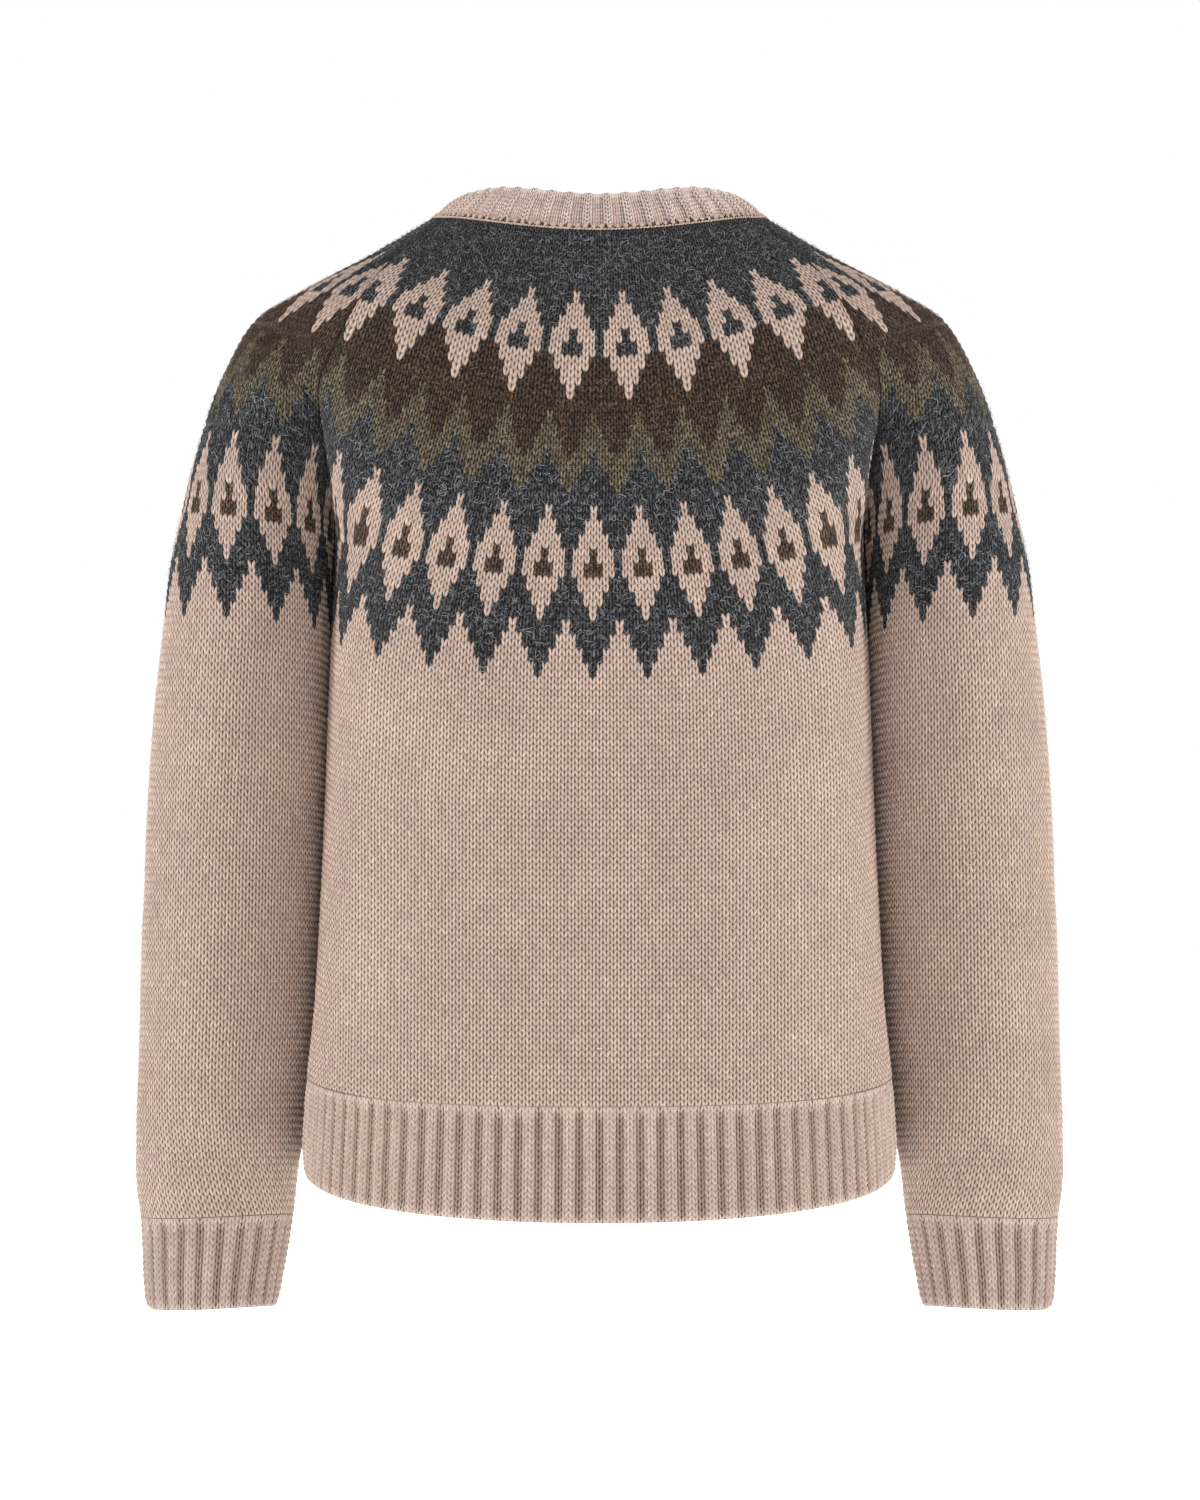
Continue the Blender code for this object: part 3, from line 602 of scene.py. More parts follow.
def fold_depths(piece, shares, down):
    """How far the folds move each point of a piece outward."""
    across = np.broadcast_to(shares, (len(down), np.shape(shares)[-1]))
    along = np.asarray(down)[:, None]
    moved = np.zeros(across.shape)
    folds = FOLDS[piece]
    columns = [folds[name][1] for name in ("across", "along", "half_width", "half_length", "depth", "lean")]
    for middle, level, half_width, half_length, depth, lean in zip(*columns):
        climb = (along - level) / half_length
        drift = middle + lean * climb
        moved = moved + depth * np.exp(-((across - drift) / half_width)**2 - climb**2)
    return moved


def grid_of(rings, down, shares, outward):
    """Points of a piece's rows at the given shares, their outward directions, and the rows' lengths."""
    curves = rings(down)
    middle = spread(curves, shares)
    after = spread(curves, np.clip(shares + SHARE_STEP, 0, 1))
    before = spread(curves, np.clip(shares - SHARE_STEP, 0, 1))
    below = spread(rings(down + DOWN_STEP), shares)
    above = spread(rings(down - DOWN_STEP), shares)
    facing = outward * np.cross(below - above, after - before)
    facing /= np.linalg.norm(facing, axis=2)[..., None]
    return middle, facing, row_lengths(curves)


def surface(rings, first, last, outward=1.0, folds=None, step=GRID_STEP, touching=()):
    """A piece's skin as a fine grid of points and outward directions, with the length of each row.
    Touching gives the middles of its swells: which side, 0 or 1, and how far from it."""
    down = np.linspace(first, last, max(4, int((last - first) / step)))
    shares = np.linspace(0, 1, GRID_COLUMNS)
    middle, facing, length = grid_of(rings, down, shares, outward)
    if folds:
        middle = middle + facing * fold_depths(folds, shares, down)[..., None]
    swell = np.interp(down, *zip(*TOUCHING))[:, None]
    for side, offset in touching:
        away = (shares - side)[None] * length[:, None] - offset
        middle = middle + facing * (swell * np.exp(-(away / TOUCH_WIDTH)**2))[..., None]
    return {"down": down, "points": middle, "facing": facing, "length": length, "outward": outward}


def even_shares(skin, start, stretch):
    """Shares at even steps of the width that shows from behind, counted from the start's share of each
    row. No part is stretched more than so many times. Returns the steps' distances and a table of shares."""
    moves = np.diff(skin["points"], axis=1)
    full = np.linalg.norm(moves, axis=2)
    shown = np.maximum(np.linalg.norm(moves[..., [0, 2]], axis=2), full / stretch)
    along = np.concatenate([np.zeros((len(shown), 1)), np.cumsum(shown, axis=1)], axis=1)
    shares = np.linspace(0, 1, along.shape[1])
    start = np.broadcast_to(start, len(along))
    starts = np.array([np.interp(start[row], shares, along[row]) for row in range(len(along))])
    distance = along - starts[:, None]
    places = np.linspace(distance.min(), distance.max(), 3 * GRID_COLUMNS)
    return places, np.array([np.interp(places, distance[row], shares) for row in range(len(along))])


def blend(values, row, column):
    """Values of a grid between its rows and columns, from the four nearest."""
    upper = np.minimum(row.astype(int), values.shape[0] - 2)
    left = np.minimum(column.astype(int), values.shape[1] - 2)
    part = row - upper
    side = column - left
    if values.ndim == 3:
        part = part[..., None]
        side = side[..., None]
    top = values[upper, left] * (1 - side) + values[upper, left + 1] * side
    bottom = values[upper + 1, left] * (1 - side) + values[upper + 1, left + 1] * side
    return top * (1 - part) + bottom * part


def share_along(skin, places, shares, distance, down):
    """The share at a distance from the start, on the row at down."""
    row = np.interp(down, skin["down"], np.arange(len(skin["down"])))
    return blend(shares, row, np.interp(distance, places, np.arange(len(places))))


def length_at(skin, down):
    """The length of the skin's row at any down."""
    return np.interp(down, skin["down"], skin["length"])


def sample(skin, down, share, lift):
    """Points at any down and share of a skin, lifted off it."""
    rows, columns = skin["points"].shape[:2]
    row = np.interp(down, skin["down"], np.arange(rows))
    column = np.clip(share, 0, 1) * (columns - 1)
    lifted = blend(skin["facing"], row, column) * np.asarray(lift)[..., None]
    return blend(skin["points"], row, column) + lifted


def bridge(first, second, first_at, second_at):
    """Triangles between two lines of vertex numbers that run side by side, paired by their places."""
    faces = []
    i = 0
    j = 0
    while i < len(first) - 1 or j < len(second) - 1:
        if j == len(second) - 1 or (i < len(first) - 1 and first_at[i + 1] <= second_at[j + 1] + 1e-9):
            faces.append((first[i], first[i + 1], second[j]))
            i += 1
        else:
            faces.append((first[i], second[j + 1], second[j]))
            j += 1
    return np.array(faces, dtype=int).reshape(-1, 3)


class Cloth:
    """A piece of knitting while its mesh is put together."""

    def __init__(self, skin, first, last):
        self.skin = skin
        self.first = first
        self.last = last
        self.vertices = []
        self.wale_row = []
        self.bake = []
        self.count = 0
        self.faces = []
        self.tones = []
        self.slants = []
        self.rims = []

    def add_points(self, down, share, lift, wale, row, inside=False):
        """New vertices from places on the skin. Returns the number of the first one."""
        flat = [np.asarray(a, dtype=float).ravel() for a in np.broadcast_arrays(down, share, lift, wale, row)]
        down, share, lift, wale, row = flat
        self.vertices.append(sample(self.skin, down, share, lift))
        self.wale_row.append(np.stack([wale, row], axis=1))
        along = (down - self.first) / (self.last - self.first)
        start, width = BAKE_INSIDE if inside else BAKE_OUTSIDE
        across = start + width * share
        self.bake.append(np.stack([across, 1 - along], axis=1))
        number = self.count
        self.count += len(down)
        return number

    def add_faces(self, faces, tones, slants=-1.0, holes=0.0, rim=False):
        """Triangles with their colours, without those that have no area. Slant is -1 where no stitch shows,
        and holes is how strong the painted shade in the holes between the legs is."""
        keep = (faces[:, 0] != faces[:, 1]) & (faces[:, 1] != faces[:, 2]) & (faces[:, 0] != faces[:, 2])
        self.faces.append(faces[keep])
        strength = np.broadcast_to(holes, len(faces))[:, None]
        self.tones.append(np.hstack([np.broadcast_to(tones, (len(faces), 3)), strength])[keep])
        self.slants.append(np.broadcast_to(slants, len(faces))[keep])
        self.rims.append(np.full(int(keep.sum()), rim))


def row_line(corners, share):
    """A row's corners as one line of numbers with their places."""
    new = np.append(True, np.diff(corners) != 0)
    return [int(number) for number in corners[new]], [float(at) for at in share[new]]


def edge_line(corners, mids, down):
    """A side's corners and the middles between them as one line of numbers with their places."""
    numbers = []
    places = []
    for row, number in enumerate(corners):
        numbers.append(int(number))
        places.append(float(down[row]))
        if row < len(mids):
            numbers.append(int(mids[row]))
            places.append(0.5 * float(down[row] + down[row + 1]))
    return numbers, places


def knit_zone(cloth, locate, limits, rows, wales, look):
    """One grid of stitches. Rows and wales are where its corners lie, locate gives the down and share of a
    row and wale, and look gives heights and colours."""
    middle = np.isclose(wales, np.round(wales))
    tip = np.where(middle, 0.5, -0.5) * TIP_DROP * look["slant"](wales)
    level = rows[:, None] + tip[None]
    level[0] = rows[0] + look["scallop"](wales)
    level[-1] = rows[-1]
    down, share = locate(level, wales[None])
    low, high = limits(down)
    at_low = share <= low
    at_high = share >= high
    share = np.clip(share, low, high)
    count = len(wales)
    last_low = np.where(at_low.any(axis=1), count - 1 - np.argmax(at_low[:, ::-1], axis=1), 0)
    first_high = np.where(at_high.any(axis=1), np.argmax(at_high, axis=1), count - 1)
    column = np.clip(np.arange(count)[None], last_low[:, None], first_high[:, None])
    row = np.arange(len(rows))[:, None]
    stitch = np.floor(wales[:-1] + 0.5 + 1e-6)[None] + np.zeros((len(rows) - 1, 1))
    tones, yarn = look["tone"](stitch, rows[:-1, None] + np.zeros(stitch.shape))
    alone = np.zeros(stitch.shape)
    alone[:, 2:-2] = (yarn[:, 2:-2] != yarn[:, :-4]) & (yarn[:, 2:-2] != yarn[:, 4:])
    lean_over = alone[:, :-1] - alone[:, 1:]
    half_wale = share[1:-1, 2:] - share[1:-1, 1:-1]
    share[1:-1, 1:-1] += SPREAD * half_wale * np.where(middle[None, 1:-1], 0, lean_over[1:])
    wale = np.broadcast_to(wales[None], share.shape)
    down, share, wale, level = (values[row, column] for values in (down, share, wale, level))
    on_edge = (column == last_low[:, None]) | (column == first_high[:, None])

    height = look["corner"](wale, down)
    height = np.where(on_edge, look["edge"](wale, down), height)
    rim_rows = np.zeros(len(rows), dtype=bool)
    rim_rows[[0, -1]] = True
    height = np.where(rim_rows[:, None], look["end"](wale, down), height)
    jitter = RANDOM.normal(0, JITTER, height.shape) * ~(on_edge | rim_rows[:, None])
    first = cloth.add_points(down, share, height + jitter, wale, level)
    corners = first + row * count + column

    def between_rows(values):
        return 0.5 * (values[:-1] + values[1:])

    def centre(values):
        return 0.5 * (between_rows(values)[:, :-1] + between_rows(values)[:, 1:])

    mid_wale = between_rows(wale)
    mid_height = look["touch"](mid_wale, between_rows(down)) + RANDOM.normal(0, JITTER, mid_wale.shape)
    first_mid = cloth.add_points(between_rows(down), between_rows(share), mid_height, mid_wale,
                                 between_rows(level))
    mids = first_mid + np.arange(mid_wale.size).reshape(mid_wale.shape)
    crest = look["crest"](centre(wale), centre(down)) + RANDOM.normal(0, JITTER, centre(wale).shape)
    first_crest = cloth.add_points(centre(down), centre(share), crest, centre(wale), centre(level))
    crests = first_crest + np.arange(crest.size).reshape(crest.shape)

    a, b, c, d = corners[:-1, :-1], corners[:-1, 1:], corners[1:, 1:], corners[1:, :-1]
    m, n, o = mids[:, :-1], mids[:, 1:], crests
    keep = (a != b) | (c != d)
    slant = np.broadcast_to(look["slant"](0.5 * (wales[:-1] + wales[1:])), a.shape)
    holes = np.broadcast_to(look["holes"](stitch), a.shape)
    for corner_set in ((o, a, b), (o, b, n), (o, n, c), (o, c, d), (o, d, m), (o, m, a)):
        cloth.add_faces(np.stack([part[keep] for part in corner_set], axis=1), tones[keep], slant[keep],
                        holes[keep])
    first_kept = np.minimum(last_low[:-1], last_low[1:])
    last_kept = np.maximum(first_high[:-1], first_high[1:])
    between = np.arange(len(rows) - 1)
    return {
        "top": row_line(corners[0], share[0]),
        "bottom": row_line(corners[-1], share[-1]),
        "left": edge_line(corners[:, 0], mids[between, first_kept], down[:, 0]),
        "right": edge_line(corners[:, -1], mids[between, last_kept], down[:, -1]),
    }


def close_cloth(cloth, zones, limits, thick, inside_tone, columns, rows):
    """The plain inner side and the rims that join it to the stitches. The side rims and the strips between
    grids carry painted shade.
    """
    down = np.linspace(cloth.first, cloth.last, rows)
    low, high = limits(down)
    share = low[:, None] + (high - low)[:, None] * np.linspace(0, 1, columns)[None]
    level = np.broadcast_to(down[:, None], share.shape)
    first = cloth.add_points(level, share, -thick(share, level), 100 * share, 0.3 * level, inside=True)
    number = first + np.arange(rows * columns).reshape(rows, columns)
    a, b, c, d = number[:-1, :-1], number[:-1, 1:], number[1:, 1:], number[1:, :-1]
    tone = inside_tone(0.5 * (level[:-1, :-1] + level[1:, :-1]))
    for corner_set in ((c, b, a), (d, c, a)):
        cloth.add_faces(np.stack([part.ravel() for part in corner_set], axis=1), tone.reshape(-1, 3))
    for upper, lower in zip(zones[:-1], zones[1:]):
        strip = bridge(upper["bottom"][0], lower["top"][0], upper["bottom"][1], lower["top"][1])
        # Painted shade on the strip where two grids of stitches meet
        cloth.add_faces(strip, JOIN_SHADE * inside_tone(np.array([upper["left"][1][-1]]))[0])
    sides = {
        "left": ([n for z in zones for n in z["left"][0]], [p for z in zones for p in z["left"][1]]),
        "right": ([n for z in zones for n in z["right"][0]], [p for z in zones for p in z["right"][1]]),
    }
    rims = [
        (zones[0]["top"], number[0], share[0], True, cloth.first),
        (zones[-1]["bottom"], number[-1], share[-1], False, cloth.last),
        (sides["left"], number[:, 0], down, False, None),
        (sides["right"], number[:, -1], down, True, None),
    ]
    for outer, inner, inner_at, reverse, place in rims:
        strip = bridge(outer[0], list(inner), outer[1], list(inner_at))
        if reverse:
            strip = strip[:, ::-1]
        if place is None:
            at = outer[1][0] + (outer[1][-1] - outer[1][0]) * np.linspace(0, 1, len(strip))
            # Painted shade on the rims at the seams' sides
            cloth.add_faces(strip, SEAM_SHADE * inside_tone(at), rim=True)
        else:
            cloth.add_faces(strip, inside_tone(np.full(len(strip), place)), rim=True)


def mesh_object(name, vertices, faces, material):
    """An object from points in millimetres and faces that all have as many sides."""
    mesh = bpy.data.meshes.new(name)
    mesh.vertices.add(len(vertices))
    mesh.vertices.foreach_set("co", (vertices * METRES).astype(np.float32).ravel())
    mesh.loops.add(faces.size)
    mesh.loops.foreach_set("vertex_index", faces.ravel().astype(np.int32))
    mesh.polygons.add(len(faces))
    mesh.polygons.foreach_set("loop_start", np.arange(0, faces.size, faces.shape[1], dtype=np.int32))
    mesh.update(calc_edges=True)
    mesh.materials.append(material)
    made = bpy.data.objects.new(name, mesh)
    bpy.context.collection.objects.link(made)
    return made


def set_uv(made, layer, values):
    """A UV map from values for each corner."""
    made.data.uv_layers.new(name=layer).data.foreach_set("uv", values.astype(np.float32).ravel())


def set_yarn(made, colours):
    """The yarn's colour and alpha for each face. The colour also carries painted light and shade, and the
    alpha is how strong the painted shade in the holes is.
    """
    colour = made.data.attributes.new("yarn", "FLOAT_COLOR", "FACE")
    colour.data.foreach_set("color", colours.astype(np.float32).ravel())


def finish_cloth(name, cloth, material, mirror=False):
    """The piece's mesh with its two UV maps, its colours and the slant of each face."""
    used, faces = np.unique(np.concatenate(cloth.faces), return_inverse=True)
    faces = faces.reshape(-1, 3)
    vertices = np.concatenate(cloth.vertices)[used]
    flip = cloth.skin["outward"] > 0
    if mirror:
        vertices = vertices * MIRROR
        flip = not flip
    if flip:
        faces = faces[:, ::-1]
    made = mesh_object(name, vertices, faces, material)
    loops = faces.ravel()
    bake = np.concatenate(cloth.bake)[used][loops]
    rim = np.repeat(np.concatenate(cloth.rims), 3)
    bake[rim, 0] = np.where(bake[rim, 0] > BAKE_SPLIT, *BAKE_RIMS)
    set_uv(made, "stitch", np.concatenate(cloth.wale_row)[used][loops])
    set_uv(made, "OFBake", bake)
    set_yarn(made, np.concatenate(cloth.tones))
    slants = np.concatenate(cloth.slants).astype(np.float32)
    made.data.attributes.new("slant", "FLOAT", "FACE").data.foreach_set("value", slants)
    made.data.shade_flat()
    return made


def loose_fibres(name, skin, down, share, colours, material, mirror):
    """Slim curved slivers that lie in all directions just over the skin, one at each place."""
    count = len(down)
    angle = RANDOM.uniform(0, 2 * math.pi, count)
    stride = RANDOM.uniform(*FIBRE_LENGTH, count) / (FIBRE_POINTS - 1)
    lifts = [RANDOM.uniform(*lift_range, count) for lift_range in FIBRE_LIFTS]
    middles = []
    normals = []
    for lift in lifts:
        point = sample(skin, down, share, lift)
        middles.append(point)
        normals.append(sample(skin, down, share, lift + 1.0) - point)
        down = down + stride * np.cos(angle)
        share = share + stride * np.sin(angle) / length_at(skin, down)
        angle = angle + RANDOM.normal(0.0, FIBRE_TURN, count)
    middles = np.stack(middles, axis=1)
    normals = np.stack(normals, axis=1)
    along = np.gradient(middles, axis=1)
    side = np.cross(normals, along)
    side /= np.linalg.norm(side, axis=2)[..., None] + 1e-9
    widths = np.array(FIBRE_HALF_WIDTHS)[None, :, None]
    pairs = np.stack([middles - side * widths, middles + side * widths], axis=2)
    vertices = pairs.reshape(-1, 3)
    if mirror:
        vertices = vertices * MIRROR
    per_fibre = 2 * FIBRE_POINTS
    steps = [(2 * k, 2 * k + 1, 2 * k + 3, 2 * k + 2) for k in range(FIBRE_POINTS - 1)]
    faces = (np.arange(count)[:, None, None] * per_fibre + np.array(steps)[None]).reshape(-1, 4)
    cells = math.ceil(math.sqrt(count))
    corner = np.stack([np.arange(count) % cells, np.arange(count) // cells], axis=1)
    lengthwise = np.repeat(np.linspace(*FIBRE_BAKE_ALONG, FIBRE_POINTS), 2)
    inside = np.stack([np.tile(FIBRE_BAKE_ACROSS, FIBRE_POINTS), lengthwise], axis=1)
    uvs = ((corner[:, None] + inside[None]) / cells).reshape(-1, 2)
    made = mesh_object(name, vertices, faces, material)
    set_uv(made, "OFBake", uvs[faces.ravel()])
    tones = np.repeat(colours, len(steps), axis=0)
    set_yarn(made, np.column_stack([tones, np.ones(len(tones))]))
    place(made, "knit_yoke")


def place(made, slot, node=None):
    """The piece rides on the garment, in place of its solid if it has one."""
    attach(made, "root")
    if node:
        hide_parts(node)


class Graph:
    """A material with one shader, and short ways to add nodes to it."""

    def __init__(self, name, **settings):
        self.material = bpy.data.materials.new(name)
        self.material.use_nodes = True
        self.tree = self.material.node_tree
        self.tree.nodes.clear()
        self.shader = self.add("BsdfPrincipled", **settings)
        self.link(self.shader.outputs["BSDF"], self.add("OutputMaterial").inputs["Surface"])

    def add(self, kind, **settings):
        """A node with properties of its own, and values for its inputs where the name is an input's."""
        node = self.tree.nodes.new("ShaderNode" + kind)
        for key, value in settings.items():
            if key in node.inputs:
                node.inputs[key].default_value = value
            else:
                setattr(node, key, value)
        return node

    def link(self, source, target):
        """A link from an output to an input."""
        self.tree.links.new(source, target)

    def math(self, operation, *values):
        """The result of a math node on outputs or numbers."""
        node = self.add("Math", operation=operation)
        for index, value in enumerate(values):
            if isinstance(value, (int, float)):
                node.inputs[index].default_value = value
            else:
                self.link(value, node.inputs[index])
        return node.outputs[0]

    def ramp(self, value, from_low, from_high, to_low, to_high):
        """A value mapped from one range to another."""
        node = self.add("MapRange")
        for index, number in enumerate((from_low, from_high, to_low, to_high)):
            node.inputs[index + 1].default_value = number
        self.link(value, node.inputs[0])
        return node.outputs[0]

    def noise(self, scale, detail, **settings):
        """Noise that is fixed to the object."""
        node = self.add("TexNoise", Scale=scale, Detail=detail, **settings)
        self.link(self.add("TexCoord").outputs["Object"], node.inputs["Vector"])
        return node.outputs["Fac"]

    def yarn(self, output):
        """The colour or the alpha that each face's yarn has."""
        return self.add("Attribute", attribute_name="yarn").outputs[output]

    def plain(self, colour):
        """One colour."""
        node = self.add("RGB")
        node.outputs[0].default_value = (*colour, 1.0)
        return node.outputs[0]

    def paint(self, colour, factor):
        """The shader's colour, times a number."""
        node = self.add("VectorMath", operation="SCALE")
        self.link(colour, node.inputs[0])
        self.link(factor, node.inputs["Scale"])
        self.link(node.outputs[0], self.shader.inputs["Base Color"])

    def bump(self, height, strength, distance):
        """Fine relief on the shader."""
        node = self.add("Bump", Strength=strength, Distance=distance)
        self.link(height, node.inputs["Height"])
        self.link(node.outputs["Normal"], self.shader.inputs["Normal"])


def leg_mask(graph):
    """How near a point is to the middle of a stitch's leg, from 0 between two legs to 1. It gives the knit's
    painted shade in the holes and along the lines between legs and between rows, and its fine relief. It
    follows the grid
    that the meshes have: wales and rows in the UV map. Where the yarn's alpha is 0, it is 1 all over."""
    place_in = graph.add("UVMap", uv_map="stitch")
    parts = graph.add("SeparateXYZ")
    graph.link(place_in.outputs["UV"], parts.inputs[0])
    slant = graph.add("Attribute", attribute_name="slant").outputs["Fac"]
    wale = graph.math("FRACT", graph.math("ADD", parts.outputs["X"], 0.5))
    off_middle = graph.math("ABSOLUTE", graph.math("MULTIPLY_ADD", wale, 2.0, -1.0))
    toward_middle = graph.math("SUBTRACT", 1.0, off_middle)
    drop = graph.math("MULTIPLY", graph.math("SUBTRACT", toward_middle, 0.5), TIP_DROP)
    drop = graph.math("MULTIPLY", drop, graph.math("MAXIMUM", slant, 0.0))
    row = graph.math("FRACT", graph.math("SUBTRACT", parts.outputs["Y"], drop))

    def dip(value, width):
        """1 at 0 and 1, and close to 0 further away than the width."""
        near = graph.math("MINIMUM", value, graph.math("SUBTRACT", 1.0, value))
        away = graph.math("DIVIDE", near, width)
        return graph.math("EXPONENT", graph.math("MULTIPLY", graph.math("MULTIPLY", away, away), -1.0))

    hole = graph.math("MULTIPLY", dip(toward_middle, HOLE_WIDTH), dip(row, HOLE_HEIGHT))
    line = graph.math("MULTIPLY", dip(toward_middle, LEG_LINE), LEG_LINE_SHADE)
    across = graph.math("MULTIPLY", dip(row, ROW_LINE), ROW_LINE_SHADE)
    # Painted shade: darkest in the holes, lighter along the lines between legs and between rows
    dark = graph.math("ADD", hole, graph.math("ADD", line, across))
    dark = graph.math("MULTIPLY", dark, graph.yarn("Alpha"))
    return graph.math("SUBTRACT", 1.0, graph.math("MINIMUM", dark, 1.0))


def knit_material():
    """Wool yarn: the colour comes from the stitch, with painted shade between the legs. Dark yarn has pale
    speckles.
    """
    graph = Graph("wool_knit", Roughness=0.62, **{
        "Specular IOR Level": 0.15, "Sheen Weight": 0.10, "Sheen Roughness": 0.5})
    yarn = graph.yarn("Color")
    tint = graph.ramp(graph.noise(*MOTTLE_NOISE), *MOTTLE_RAMP)
    tint = graph.math("MULTIPLY", tint, graph.ramp(graph.noise(*PATCH_NOISE), *PATCH_RAMP))
    melange = graph.ramp(graph.noise(*SPECKLE_NOISE), *SPECKLE_RAMP)
    parts = graph.add("SeparateColor")
    graph.link(yarn, parts.inputs[0])
    darkness = graph.ramp(parts.outputs["Red"], *DARKNESS_RAMP)
    even = graph.math("SUBTRACT", 1.0, darkness)
    melange = graph.math("ADD", graph.math("MULTIPLY", melange, darkness), even)
    mask = leg_mask(graph)
    # Painted shade between the legs: how much colour is left in the holes, sharper on dark yarn
    left = graph.math("MULTIPLY_ADD", darkness, DARK_HOLE_SHADE - HOLE_SHADE, HOLE_SHADE)
    sharp = graph.math("POWER", mask, graph.math("ADD", 1.0, darkness))
    shade = graph.math("MULTIPLY_ADD", sharp, graph.math("SUBTRACT", 1.0, left), left)
    graph.paint(yarn, graph.math("MULTIPLY", graph.math("MULTIPLY", tint, shade), melange))
    height = graph.math("ADD", graph.math("MULTIPLY", graph.noise(*FINE_NOISE), 0.5), mask)
    graph.bump(height, 0.6, 0.0005)
    return graph.material


def fibre_material():
    """Loose wool fibres, made once for all panels."""
    if "wool_fibres" in bpy.data.materials:
        return bpy.data.materials["wool_fibres"]
    graph = Graph("wool_fibres", Roughness=0.8, **{"Specular IOR Level": 0.2, "Sheen Weight": 0.2})
    graph.paint(graph.yarn("Color"), graph.ramp(graph.noise(*FIBRE_NOISE), *FIBRE_RAMP))
    return graph.material


def horn_material():
    """Polished brown horn, streaked from dark to light."""
    graph = Graph("button_horn_look", Roughness=0.28, **{"Coat Weight": 0.25})
    graph.paint(graph.plain(HORN), graph.ramp(graph.noise(*HORN_NOISE, Distortion=1.4), *HORN_RAMP))
    return graph.material


def linking_material():
    """Plain twisted yarn of one colour, with fine fibres."""
    graph = Graph("linking_yarn", Roughness=0.7, **{"Specular IOR Level": 0.25, "Sheen Weight": 0.15})
    twist = graph.noise(*TWIST_NOISE)
    graph.paint(graph.plain(LINK_TONE), graph.ramp(twist, *TWIST_RAMP))
    graph.bump(twist, 0.5, 0.0003)
    return graph.material


def from_middle(stitch, middle):
    """How many stitches a stitch lies from the middle of its repeat."""
    return np.abs((stitch - middle + REPEAT // 2) % REPEAT - REPEAT // 2)


def in_tips(stitch, row, middle, first_row, rows):
    """Whether a stitch is in a zigzag: tips that start narrow and widen downward until they meet."""
    width = np.floor((row - first_row) * (REPEAT // 2) / rows)
    return (row >= first_row) & (from_middle(stitch, middle) <= width)


def chart(stitch, row, lower_middle):
    """The number of each stitch's yarn, counted from a panel's middle line and from the neck seam."""
    yarn = np.full(stitch.shape, YARNS.index(GRAY))
    yarn[row >= BROWN_FROM] = YARNS.index(BROWN)
    for middle, first_row, rows, colour in (
            (lower_middle, OLIVE_TIPS, OLIVE_ROWS, OLIVE), (lower_middle, GRAY_TIPS, GRAY_ROWS, GRAY),
            (lower_middle + REPEAT // 2, BEIGE_TIPS, BEIGE_ROWS, BEIGE)):
        yarn[in_tips(stitch, row, middle, first_row, rows)] = YARNS.index(colour)
    for first_row, middle, drop in (
            (UPPER_DIAMONDS, UPPER_MIDDLE, GRAY), (LOWER_DIAMONDS, lower_middle, TEARDROP)):
        step = np.clip(row - first_row, 0, len(DIAMOND) - 1).astype(int)
        inside = (row >= first_row) & (row < first_row + len(DIAMOND))
        away = from_middle(stitch, middle)
        yarn[inside & (away <= np.array(DIAMOND)[step])] = YARNS.index(BEIGE)
        yarn[inside & (away <= np.array(DROP)[step])] = YARNS.index(drop)
    return yarn


def panel_tone(lower_middle):
    """The colour and the yarn's number of each stitch of a panel, a little uneven from stitch to stitch."""
    def tone(stitch, row):
        yarn = chart(stitch, row, lower_middle)
        uneven = RANDOM.normal(0.0, 1.0, stitch.shape) * np.array(UNEVEN)[yarn]
        return np.array(YARNS)[yarn] * np.exp(uneven)[..., None], yarn
    return tone


def ground(down):
    """The usual colour of the inner side at a row, where the loose strands of both yarns lie."""
    down = np.asarray(down, dtype=float)
    tone = np.zeros(down.shape + (3,))
    for start, colour, factor in INNER_TONES:
        tone[down > start] = np.array(colour) * factor
    return tone


def panel_look(lower_middle):
    """Heights and colours of the patterned panels."""
    def flat(value):
        return lambda wale, down: np.full(np.shape(wale), value)

    look = {name: flat(value) for name, value in PANEL_HEIGHTS.items()}
    return {**look, "slant": lambda wale: 1.0, "tone": panel_tone(lower_middle),
            "scallop": lambda wales: 0.0, "holes": lambda stitch: 1.0}


